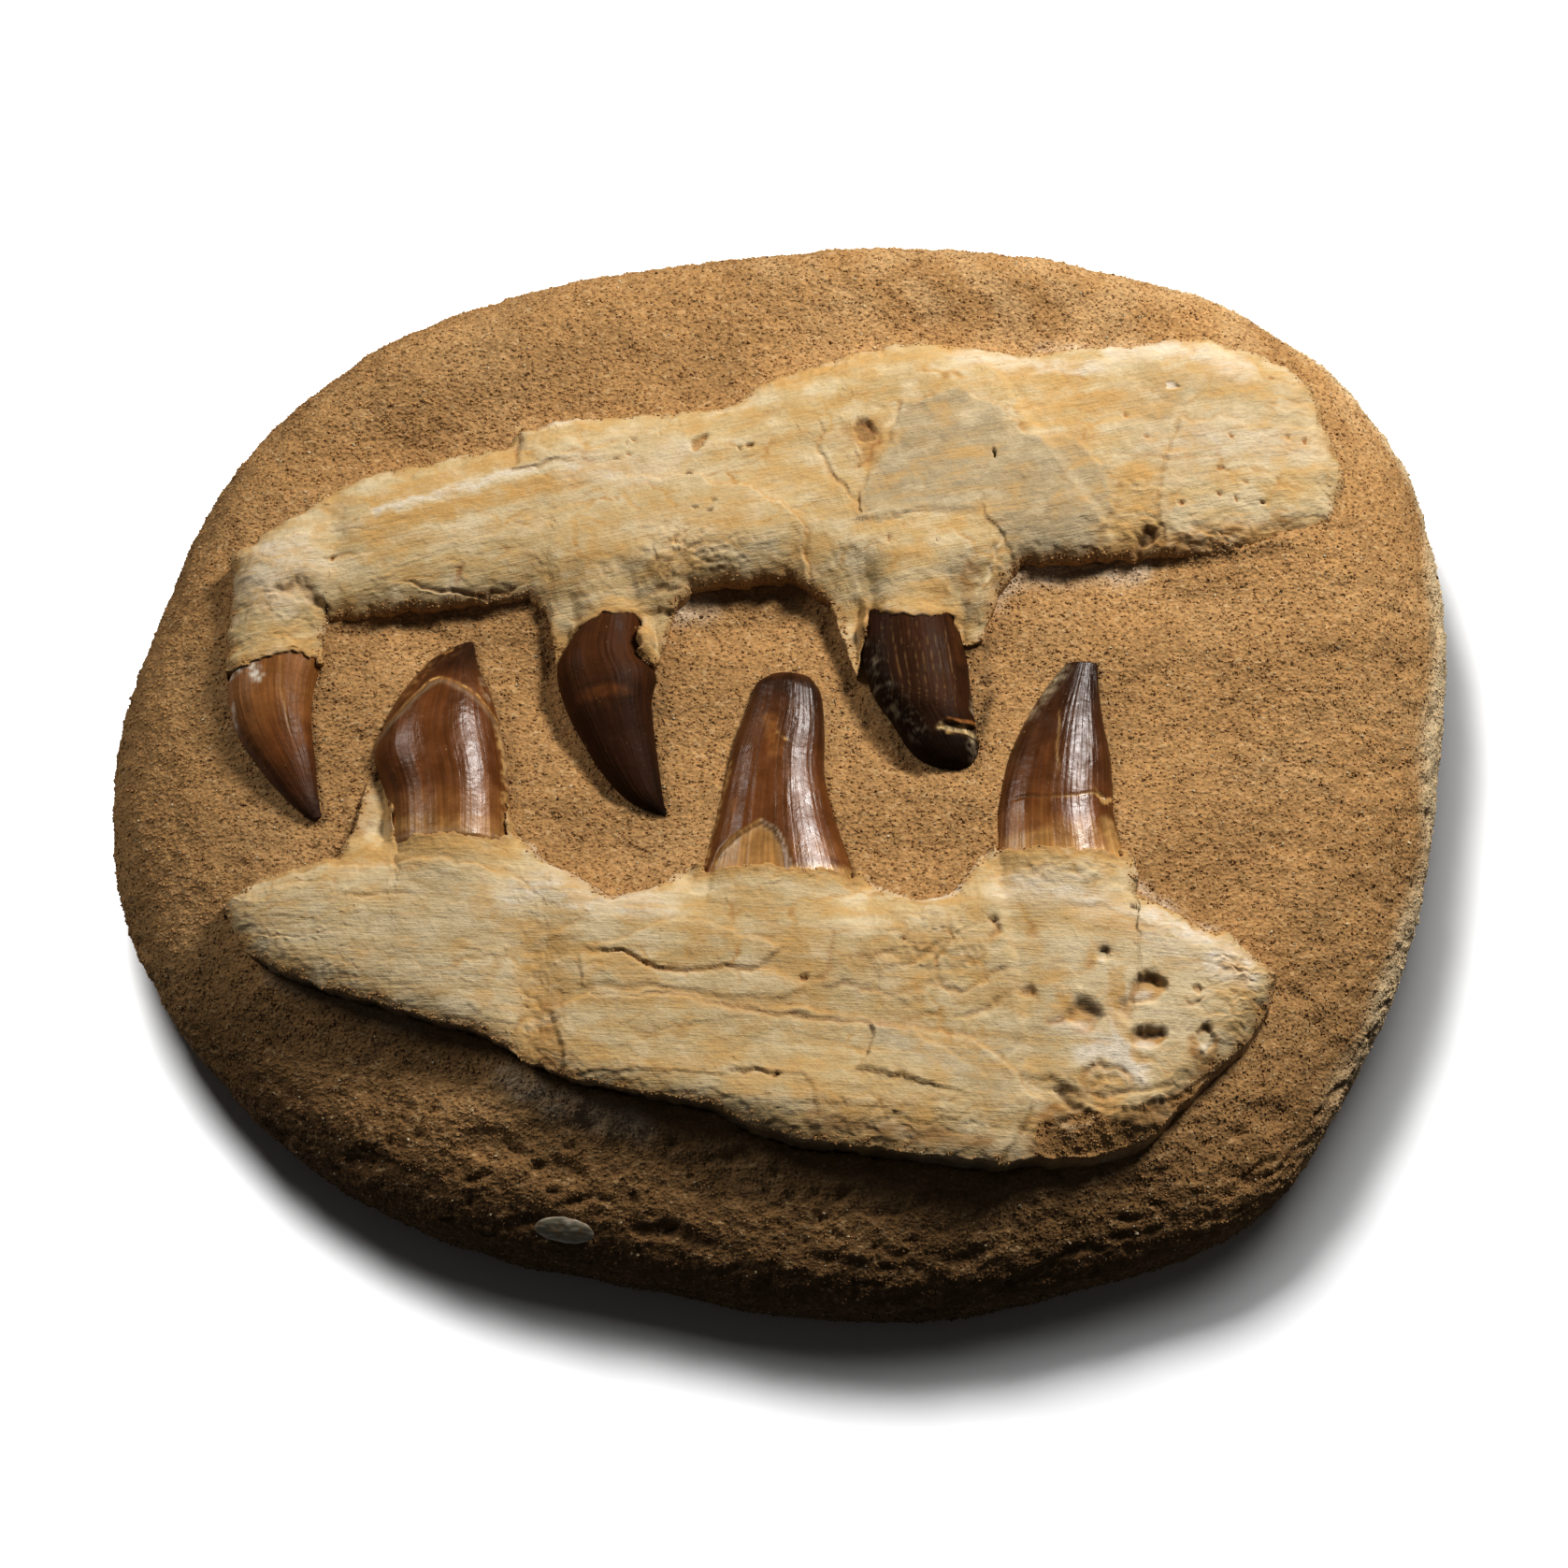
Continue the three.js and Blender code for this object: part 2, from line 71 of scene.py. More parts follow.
class Tone(Enum):
    """The colours met on the fossil, as linear red, green and blue."""

    CREAM = (0.55, 0.42, 0.23)
    PALE = (0.65, 0.54, 0.365)
    GREYED = (0.50, 0.41, 0.27)
    OCHRE = (0.555, 0.355, 0.142)
    TAN = (0.41, 0.23, 0.082)
    RUST = (0.33, 0.145, 0.045)
    CHALK = (0.70, 0.62, 0.51)
    ASH = (0.40, 0.32, 0.205)
    # Dark brown: grime in cracks, and also painted shade on the low front slope, on the lower bone's front
    # wall, in holes and in the crescents above them
    GRIME_AND_SHADE = (0.12, 0.07, 0.032)
    SAND = (0.437, 0.268, 0.120)
    SAND_DARK = (0.25, 0.138, 0.052)
    SAND_LIGHT = (0.60, 0.43, 0.24)
    ENAMEL_BLACK = (0.022, 0.010, 0.005)
    ENAMEL_DARK = (0.050, 0.020, 0.008)
    ENAMEL_BROWN = (0.092, 0.035, 0.011)
    ENAMEL_WARM = (0.16, 0.060, 0.016)
    ENAMEL_AMBER = (0.27, 0.12, 0.036)
    DENTINE = (0.40, 0.225, 0.08)
    SHELL_GREY = (0.26, 0.23, 0.17)


# Driving dimensions of the slab, in millimetres: its radii run evenly by angle from +X
SAND_TOP = 47.0
RIM_HEIGHT = 17.0
RIM_RADII = np.array(
    [149, 157, 163, 157, 143, 132.5, 127, 127, 133, 141, 147, 148]
    + [152, 152, 146, 139, 131, 125, 127.3, 132.4, 139, 148.5, 147, 147]
)
# Hollows in the sand: x, y, reach along x, reach along y, depth
HOLLOWS = (
    (0, 0, 120, 30, 5.5), (5, -100, 62, 15, 5), (-82, -76, 34, 15, 5), (-38, -31, 17, 12, 3),
    (30, -33, 15, 12, 3), (90, -38, 17, 13, 2.5), (13, 5, 6, 16, 3), (-56, 10, 6, 14, 2.5),
    (-80, 20, 22, 9, 4), (-6, 26, 18, 9, 4), (82, 34, 32, 10, 4), (-116, 42, 16, 16, 5.5),
    (-92, 68, 24, 13, 6), (-55, 78, 26, 13, 2), (-18, 85, 24, 12, 2), (20, 99, 28, 12, 3.5),
    (60, 98, 28, 12, 3.5), (98, 98, 24, 12, 2), (124, 78, 16, 18, 3.5),
)
SAND_BATCHES = 3
GRAINS_IN_BATCH = 23500
CRUMBS_ON_BONE = 3500


def smooth(low: float, high: float, value: Array) -> Array:
    """Eased step from 0 at low to 1 at high."""
    part = np.clip((value - low) / (high - low), 0.0, 1.0)
    return part * part * (3.0 - 2.0 * part)


def bell(x: Array, y: Array, place: Sequence[float]) -> Array:
    """Bell curve of height 1 over the plan, for place = (x, y, reach along x, reach along y)."""
    return np.exp(-(((x - place[0]) / place[2]) ** 2) - ((y - place[1]) / place[3]) ** 2)


def blend(colour: Array, tone: Tone, amount: Array) -> Array:
    """Colours moved towards a tone by a share for each point."""
    share = np.clip(amount, 0.0, 1.0)[..., None]
    return colour * (1.0 - share) + np.array(tone.value) * share


class Noise:
    """Seeded gradient noise in the plane or in space, about -1 to 1."""

    def __init__(self, seed: int) -> None:
        """Draws the pattern.

        Args:
            seed: picks the pattern.
        """
        rng = np.random.default_rng(seed)
        self.order = rng.permutation(256)
        self.slopes = rng.uniform(-1.0, 1.0, (256, 3))

    def at(self, *axes: Array) -> Array:
        """Noise at points: in each unit cell the slopes kept at its corners are eased into one another.

        Args:
            axes: two or three coordinate arrays of one shape.

        Returns:
            One value for each point.
        """
        places = np.stack(np.broadcast_arrays(*axes), -1).astype(float)
        cells = np.floor(places).astype(np.int64)
        parts = places - cells
        eased = parts**3 * (parts * (parts * 6.0 - 15.0) + 10.0)
        total = np.zeros(places.shape[:-1])
        for corner in itertools.product((0, 1), repeat=places.shape[-1]):
            picked = np.zeros(total.shape, np.int64)
            for axis, step in enumerate(corner):
                picked = self.order[(picked + cells[..., axis] + step) & 255]
            lean = ((parts - corner) * self.slopes[picked, : len(corner)]).sum(-1)
            total += lean * np.prod(np.where(corner, eased, 1.0 - eased), -1)
        return 2.0 * total

    def cells(self, x: Array, y: Array) -> tuple[Array, Array]:
        """Scattered points, one in each unit square of the plane.

        Args:
            x, y: coordinates of the points.

        Returns:
            The distance to the nearest point, and how much farther the second nearest is.
        """
        cell_x, cell_y = np.floor(x).astype(np.int64), np.floor(y).astype(np.int64)
        first = np.full(x.shape, 9.0)
        second = np.full(x.shape, 9.0)
        for step_x, step_y in itertools.product((-1, 0, 1), repeat=2):
            picked = self.order[(self.order[(cell_x + step_x) & 255] + cell_y + step_y) & 255]
            spot = self.slopes[picked, :2] * 0.45 + 0.5
            away = np.hypot(cell_x + step_x + spot[..., 0] - x, cell_y + step_y + spot[..., 1] - y)
            second = np.minimum(second, np.maximum(first, away))
            first = np.minimum(first, away)
        return first, second - first


def trail(x: Array, y: Array, path: Points) -> tuple[Array, Array]:
    """Nearest place on a line of straight runs.

    Args:
        x, y: coordinates of the points.
        path: corners of the line.

    Returns:
        The distance to the line, and the share of its length at which the nearest place lies.
    """
    nearest = np.full(x.shape, np.inf)
    share = np.zeros(x.shape)
    runs = [math.dist(start, end) for start, end in zip(path, path[1:])]
    whole, done = sum(runs), 0.0
    for (x0, y0), (x1, y1), run in zip(path, path[1:], runs):
        along = np.clip(((x - x0) * (x1 - x0) + (y - y0) * (y1 - y0)) / run**2, 0.0, 1.0)
        away = np.hypot(x - x0 - along * (x1 - x0), y - y0 - along * (y1 - y0))
        closer = away < nearest
        nearest = np.where(closer, away, nearest)
        share = np.where(closer, (done + along * run) / whole, share)
        done += run
    return nearest, share


def depth_inside(x: Array, y: Array, outline: Points) -> Array:
    """Distance to a closed outline, with a point inside where a ray from it crosses the outline oddly.

    Args:
        x, y: coordinates of the points.
        outline: corners of the outline.

    Returns:
        The distances, above 0 inside and under 0 outside.
    """
    closed = [*outline, outline[0]]
    away, _ = trail(x, y, closed)
    within = np.zeros(x.shape, bool)
    for (x0, y0), (x1, y1) in zip(closed, closed[1:]):
        if y0 != y1:
            within ^= ((y0 > y) != (y1 > y)) & (x < (x1 - x0) * (y - y0) / (y1 - y0) + x0)
    return np.where(within, away, -away)


def spline(points: Points, along: Array) -> Array:
    """Smooth curve through plan points, evenly spaced in its parameter, at shares along it.

    Args:
        points: the points it runs through.
        along: shares from 0 to 1.

    Returns:
        Plan positions, one row for each share.
    """
    knots = np.array(points, float)
    padded = np.concatenate([knots[:1], knots, knots[-1:]])
    place = np.clip(along, 0.0, 1.0) * (len(knots) - 1)
    start = np.minimum(place.astype(int), len(knots) - 2)
    part = (place - start)[:, None]
    before, first, second, after = (padded[start + step] for step in range(4))
    rise, fall = (second - before) / 2.0, (after - first) / 2.0
    cubic = 2.0 * (first - second) + rise + fall
    square = 3.0 * (second - first) - 2.0 * rise - fall
    return ((cubic * part + square) * part + rise) * part + first


def grid_faces(rows: int, columns: int, wrap: bool) -> Array:
    """Quads of a grid of vertices laid out row by row.

    Args:
        rows: rows of vertices.
        columns: vertices in each row.
        wrap: whether the last column joins the first.

    Returns:
        Four vertex numbers for each quad.
    """
    across = columns if wrap else columns - 1
    row, column = np.meshgrid(np.arange(rows - 1), np.arange(across), indexing="ij")
    start = (row * columns + column).ravel()
    beside = (row * columns + (column + 1) % columns).ravel()
    return np.stack([start, beside, beside + columns, start + columns], 1)


def tube_faces(rows: int, columns: int) -> list:
    """Faces of a closed tube of sections: quads around it, and a cap at each end.

    Args:
        rows: sections along the tube.
        columns: vertices around each section.

    Returns:
        Vertex numbers of each face.
    """
    first = list(range(columns))
    last = [number + (rows - 1) * columns for number in first]
    return grid_faces(rows, columns, True).tolist() + [first[::-1], last]


def vertex_normals(places: Array, quads: Array) -> Array:
    """Unit normals at vertices, as the sum of the normals of the quads around each.

    Args:
        places: vertex positions.
        quads: four vertex numbers for each quad.

    Returns:
        One normal for each vertex.
    """
    corners = places[quads]
    normals = np.cross(corners[:, 2] - corners[:, 0], corners[:, 3] - corners[:, 1])
    total = np.zeros_like(places)
    for corner in range(4):
        for axis in range(3):
            total[:, axis] += np.bincount(quads[:, corner], normals[:, axis], len(places))
    return total / np.maximum(np.linalg.norm(total, axis=1, keepdims=True), 1e-12)


def make_piece(
    name: str, places: Array, faces: list, material: Material, colours: Array,
    flat: bool = False, spread: Array | None = None,
) -> bpy.types.Object:
    """Makes a mesh object of the fossil, which rides on its one body.

    Args:
        name: name of the piece.
        places: vertex positions in millimetres.
        faces: vertex numbers of each face.
        material: its material.
        colours: linear colour for each vertex.
        flat: whether the faces are shaded flat.
        spread: two surface coordinates for each vertex, for a finish that follows them.

    Returns:
        The object.
    """
    mesh = bpy.data.meshes.new(name)
    mesh.from_pydata((places * MM).tolist(), [], faces)
    stored = mesh.color_attributes.new("tone", "FLOAT_COLOR", "POINT")
    stored.data.foreach_set("color", np.column_stack([colours, np.ones(len(colours))]).ravel())
    if spread is not None:
        corners = np.zeros(len(mesh.loops), np.int32)
        mesh.loops.foreach_get("vertex_index", corners)
        layer = mesh.uv_layers.new(name="crown")
        layer.data.foreach_set("uv", spread[corners].astype(np.float32).ravel())
    mesh.polygons.foreach_set("use_smooth", np.full(len(mesh.polygons), not flat))
    mesh.materials.append(material)
    mesh.update()
    piece = bpy.data.objects.new(name, mesh)
    bpy.context.scene.collection.objects.link(piece)
    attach(piece, "root")
    LOG.info("%s: %d vertices, %d faces", name, len(places), len(faces))
    return piece


class Shader:
    """A node material under way, whose patterns are laid out in millimetres of the object."""

    def __init__(self, name: str) -> None:
        """Starts the material, with the vertices' own tone as its first colour.

        Args:
            name: name of the material.
        """
        self.material = bpy.data.materials.new(name)
        self.material.use_nodes = True
        self.tree = self.material.node_tree
        self.surface = self.tree.nodes["Principled BSDF"]
        self.tone = self.node("ShaderNodeAttribute", attribute_name="tone").outputs["Color"]

    def node(self, kind: str, inputs: dict | None = None, **settings: object) -> bpy.types.Node:
        """Adds a node.

        Args:
            kind: node type.
            inputs: a value, or a socket to link, for each input name or number.
            settings: the node's own settings.

        Returns:
            The node.
        """
        made = self.tree.nodes.new(kind)
        for key, value in settings.items():
            setattr(made, key, value)
        for key, value in (inputs or {}).items():
            if isinstance(value, Socket):
                self.tree.links.new(value, made.inputs[key])
            else:
                made.inputs[key].default_value = value
        return made

    def place(self, stretch: Colour, turn: float = 0.0) -> Socket:
        """Object position in millimetres, turned about +Z and then divided by a stretch along each axis.

        Args:
            stretch: length of one unit along each axis.
            turn: the turn, in radians.

        Returns:
            The position.
        """
        held = self.node("ShaderNodeTexCoord").outputs["Object"]
        turned = self.node("ShaderNodeMapping", {0: held, "Rotation": (0.0, 0.0, -turn)}).outputs[0]
        scale = tuple(1.0 / (MM * reach) for reach in stretch)
        return self.node("ShaderNodeMapping", {0: turned, "Scale": scale}).outputs[0]

    def noise(self, where: Socket, detail: float = 3.0, rough: float = 0.55) -> Socket:
        """Soft noise, about 0 to 1, with one wave in each unit of where."""
        inputs = {"Vector": where, "Scale": 1.0, "Detail": detail, "Roughness": rough}
        return self.node("ShaderNodeTexNoise", inputs).outputs[0]

    def spread(self, value: Socket, low: float, high: float, to_low: float, to_high: float) -> Socket:
        """A value carried from one range to another, and held within it."""
        inputs = {0: value, 1: low, 2: high, 3: to_low, 4: to_high}
        return self.node("ShaderNodeMapRange", inputs).outputs[0]

    def tint(
        self, colour: Socket, tone: Tone, pattern: Socket, low: float, high: float, amount: float
    ) -> Socket:
        """A colour moved towards a tone, by an amount that grows as the pattern goes from low to high."""
        inputs = {0: self.spread(pattern, low, high, 0.0, amount), 6: colour, 7: (*tone.value, 1.0)}
        return self.node("ShaderNodeMix", inputs, data_type="RGBA").outputs[2]

    def shade(
        self, colour: Socket, pattern: Socket, darkest: float, lightest: float, half: float = 0.2
    ) -> Socket:
        """A colour made darker and lighter by a pattern, over half a range to each side of its middle."""
        factor = self.spread(pattern, 0.5 - half, 0.5 + half, darkest, lightest)
        return self.node("ShaderNodeVectorMath", {0: colour, 3: factor}, operation="SCALE").outputs[0]

    def add(self, first: Socket, second: Socket, share: float = 1.0) -> Socket:
        """A pattern and a share of another one, added."""
        inputs = {0: second, 1: share, 2: first}
        return self.node("ShaderNodeMath", inputs, operation="MULTIPLY_ADD").outputs[0]

    def finish(
        self, colour: Socket, roughness: Socket | float, height: Socket, raised: float, **constants: float
    ) -> Material:
        """Sets the surface.

        Args:
            colour: its colour.
            roughness: its roughness, as a value or a socket.
            height: pattern of its fine relief.
            raised: height of that relief in millimetres.
            constants: other values of the surface, with spaces in names written as underscores.

        Returns:
            The material.
        """
        relief = self.node("ShaderNodeBump", {"Height": height, "Distance": raised * MM, "Strength": 1.0})
        self.tree.links.new(colour, self.surface.inputs["Base Color"])
        self.tree.links.new(relief.outputs[0], self.surface.inputs["Normal"])
        if isinstance(roughness, Socket):
            self.tree.links.new(roughness, self.surface.inputs["Roughness"])
        else:
            self.surface.inputs["Roughness"].default_value = roughness
        for key, value in constants.items():
            self.surface.inputs[key.replace("_", " ")].default_value = value
        return self.material


@dataclass(frozen=True)
class SandFinish:
    """Dry sandy matrix: matt, with specks of every grain size."""

    name: str = "sandy_matrix"
    roughness: float = 0.95
    relief: float = 0.42

    def material(self) -> Material:
        """Builds the node material.

        Returns:
            The material.
        """
        shader = Shader(self.name)
        fine = shader.noise(shader.place((0.85, 0.7, 0.8)), 2.0, 0.45)
        specks = shader.noise(shader.place((1.7, 1.3, 1.5)), 2.0, 0.5)
        broad = shader.noise(shader.place((14.0, 14.0, 14.0)), 3.0)
        colour = shader.shade(shader.tone, fine, 0.78, 1.20, 0.18)
        colour = shader.shade(colour, broad, 0.92, 1.08)
        colour = shader.tint(colour, Tone.SAND_LIGHT, specks, 0.57, 0.70, 0.62)
        colour = shader.tint(colour, Tone.SAND_DARK, specks, 0.36, 0.22, 0.25)
        height = shader.add(fine, specks)
        return shader.finish(colour, self.roughness, height, self.relief, Specular_IOR_Level=0.25)


@dataclass(frozen=True)
class GrainFinish:
    """Loose grains: each has its own shade, and a few have a slight gleam."""

    name: str = "sand_grains"
    roughness: float = 0.8
    relief: float = 0.05

    def material(self) -> Material:
        """Builds the node material.

        Returns:
            The material.
        """
        shader = Shader(self.name)
        fine = shader.noise(shader.place((0.4, 0.4, 0.4)), 2.0, 0.6)
        colour = shader.shade(shader.tone, fine, 0.8, 1.15)
        return shader.finish(colour, self.roughness, fine, self.relief, Specular_IOR_Level=0.3)


@dataclass(frozen=True)
class BoneFinish:
    """Dry fossil bone: matt, with fine fibres along it, paler strands and ochre specks."""

    name: str
    lean: float
    roughness: float = 0.78
    relief: float = 0.176

    def material(self) -> Material:
        """Builds the node material.

        Returns:
            The material.
        """
        shader = Shader(self.name)
        turn = math.atan(self.lean)
        fibres = shader.noise(shader.place((6.0, 0.5, 1.6), turn), 4.0, 0.6)
        strands = shader.noise(shader.place((17.0, 2.4, 8.0), turn), 4.0, 0.6)
        pores = shader.noise(shader.place((0.9, 0.7, 0.9), turn), 3.0, 0.65)
        patches = shader.noise(shader.place((8.0, 5.5, 8.0), turn), 5.0, 0.62)
        colour = shader.shade(shader.tone, fibres, 0.91, 1.07)
        colour = shader.shade(colour, pores, 0.90, 1.08)
        colour = shader.tint(colour, Tone.OCHRE, strands, 0.53, 0.68, 0.45)
        colour = shader.tint(colour, Tone.OCHRE, patches, 0.53, 0.66, 0.52)
        colour = shader.tint(colour, Tone.PALE, patches, 0.47, 0.34, 0.50)
        colour = shader.tint(colour, Tone.RUST, pores, 0.66, 0.76, 0.45)
        height = shader.add(fibres, pores, 1.125)
        rough = shader.spread(fibres, 0.3, 0.7, self.roughness - 0.08, self.roughness + 0.1)
        return shader.finish(colour, rough, height, self.relief, Specular_IOR_Level=0.35)


@dataclass(frozen=True)
class EnamelFinish:
    """Enamel: glossy, with fine lines along the crown and a few tan specks of matrix."""

    name: str
    roughness: float
    gloss: float
    coat: float
    relief: float = 0.10
    line_count: float = 85.0

    def material(self) -> Material:
        """Builds the node material.

        Returns:
            The material.
        """
        shader = Shader(self.name)
        held = shader.node("ShaderNodeUVMap", uv_map="crown").outputs[0]

        def along(across: float, length: float) -> Socket:
            """Position on the crown, with so many cells around it and along it."""
            return shader.node("ShaderNodeMapping", {0: held, "Scale": (across, length, 1.0)}).outputs[0]

        lines = shader.noise(along(self.line_count, 3.0), 3.0, 0.6)
        bands = shader.noise(along(11.0, 1.6), 3.0, 0.55)
        cloud = shader.noise(shader.place((4.0, 4.0, 4.0)), 4.0, 0.6)
        specks = shader.noise(shader.place((0.8, 0.8, 0.8)), 2.0, 0.5)
        colour = shader.shade(shader.tone, lines, 0.78, 1.25)
        colour = shader.shade(colour, bands, 0.82, 1.2)
        colour = shader.shade(colour, cloud, 0.85, 1.15)
        colour = shader.tint(colour, Tone.OCHRE, specks, 0.73, 0.78, 0.6)
        height = shader.add(lines, specks, 0.5)
        rough = shader.spread(cloud, 0.35, 0.65, self.roughness - 0.06, self.roughness + 0.1)
        return shader.finish(
            colour, rough, height, self.relief,
            Coat_Weight=self.coat, Coat_Roughness=0.2, Specular_IOR_Level=self.gloss,
        )


@dataclass(frozen=True)
class ShellFinish:
    """Worn shell: smooth grey with growth lines."""

    name: str = "grey_shell"
    roughness: float = 0.5
    relief: float = 0.08

    def material(self) -> Material:
        """Builds the node material.

        Returns:
            The material.
        """
        shader = Shader(self.name)
        rings = shader.noise(shader.place((5.0, 0.7, 0.9)), 2.0, 0.5)
        dirt = shader.noise(shader.place((1.6, 1.6, 1.6)), 4.0, 0.65)
        colour = shader.shade(shader.tone, rings, 0.75, 1.2)
        colour = shader.tint(colour, Tone.SAND_DARK, dirt, 0.52, 0.66, 0.8)
        return shader.finish(colour, self.roughness, rings, self.relief)


@dataclass(frozen=True)
class Mark:
    """A line in a surface: a crack where depth is above 0, a ridge where it is under 0."""

    path: Points
    width: float
    depth: float
    tone: Tone = Tone.TAN
    amount: float = 0.5


@dataclass(frozen=True)
class Plate:
    """A sheet that stands proud inside its outline, and dies out along x from fade[0] to fade[1]."""

    outline: Points
    rise: float
    edge: float = 0.35
    fade: tuple[float, float] | None = None
    crack: float = 0.45


@dataclass(frozen=True)
class Pit:
    """A hole: centre, reach along x and y, depth, and the tone of its floor."""

    x: float
    y: float
    wide: float
    long: float
    depth: float
    turn: float = 0.0
    # the default floor tone is dark brown: grime and painted shade in the hole
    tone: Tone = Tone.GRIME_AND_SHADE


@dataclass(frozen=True)
class Patch:
    """A stain along a line, or over an area if closed, whose edge is soft over its reach."""

    tone: Tone
    path: Points
    reach: float
    amount: float = 0.8
    closed: bool = False
    broken: float = 0.5


@dataclass(frozen=True)
class Details:
    """Everything that is drawn on a surface in plan.

    Its lines wander by up to bend, and its stains break up into streaks of this length.
    """

    marks: Sequence[Mark] = ()
    plates: Sequence[Plate] = ()
    pits: Sequence[Pit] = ()
    patches: Sequence[Patch] = ()
    bend: float = 1.0
    streak: float = 7.0

    def stain(self, patch: Patch, x: Array, y: Array, colour: Array, breaks: Array) -> Array:
        """Colours with one stain laid over them.

        Args:
            patch: the stain.
            x, y: coordinates of the points.
            colour: their colours.
            breaks: streaky noise that breaks the stain up.

        Returns:
            The new colours.
        """
        if patch.closed:
            cover = smooth(-patch.reach, patch.reach, depth_inside(x, y, patch.path))
        else:
            cover = 1.0 - smooth(0.2 * patch.reach, patch.reach, trail(x, y, patch.path)[0])
        return blend(colour, patch.tone, patch.amount * cover * (1.0 + patch.broken * (breaks - 0.3)))

    def apply(self, x: Array, y: Array, rise: Array, colour: Array, noise: Noise) -> tuple[Array, Array]:
        """Adds the details, with their lines bent by noise so that none runs straight.

        Args:
            x, y: coordinates of the points.
            rise: height of the surface at them.
            colour: its colour at them.
            noise: bends the lines and breaks up the stains.

        Returns:
            The new heights and colours.
        """
        broad, fine = 0.9 * self.bend, 0.45 * self.bend
        bent_x = x + broad * noise.at(x / 6.0, y / 5.0) + fine * noise.at(x / 1.9, y / 1.7 + 40.0)
        bent_y = y + broad * noise.at(x / 6.0 + 70.0, y / 5.0) + fine * noise.at(x / 1.9, y / 1.7 + 90.0)
        breaks = noise.at(bent_x / self.streak, bent_y / 1.6)
        breaks = breaks + 0.6 * noise.at(3.0 * bent_x / self.streak, bent_y / 0.9)
        for patch in self.patches:
            colour = self.stain(patch, bent_x, bent_y, colour, breaks)
        for plate in self.plates:
            depth = depth_inside(bent_x, bent_y, plate.outline)
            stay = 1.0
            if plate.fade is not None:
                stay = smooth(plate.fade[0], plate.fade[1], x)
            rise = rise + plate.rise * stay * smooth(-plate.edge, plate.edge, depth)
            foot = np.exp(-(((depth + 1.2 * plate.edge) / 0.45) ** 2))
            colour = blend(colour, Tone.TAN, plate.crack * stay * foot)
            lip = np.exp(-(((depth - 0.8) / 0.6) ** 2))
            colour = blend(colour, Tone.PALE, 0.4 * plate.crack * stay * lip)
        for pit in self.pits:
            cos, sin = math.cos(pit.turn), math.sin(pit.turn)
            side, ahead = 0.55 * x + 0.45 * bent_x - pit.x, 0.55 * y + 0.45 * bent_y - pit.y
            across = (side * cos + ahead * sin) / pit.wide
            along = (ahead * cos - side * sin) / pit.long
            hole = 1.0 - smooth(0.65, 1.12, np.hypot(across, along))
            rise = rise - pit.depth * hole
            colour = blend(colour, pit.tone, 0.75 * smooth(0.3, 0.9, hole))
        for mark in self.marks:
            away, share = trail(bent_x, bent_y, mark.path)
            taper = np.sqrt(np.clip(4.0 * share * (1.0 - share), 0.0, 1.0)) * 0.75 + 0.25
            line = np.exp(-((away / (mark.width * taper)) ** 2)) * taper
            rise = rise - mark.depth * line
            colour = blend(colour, mark.tone, mark.amount * line)
        return rise, colour


@dataclass(frozen=True)
class CrownDetails(Details):
    """Details on a crown, which are finer than those on bone."""

    bend: float = 0.35
    streak: float = 1.6


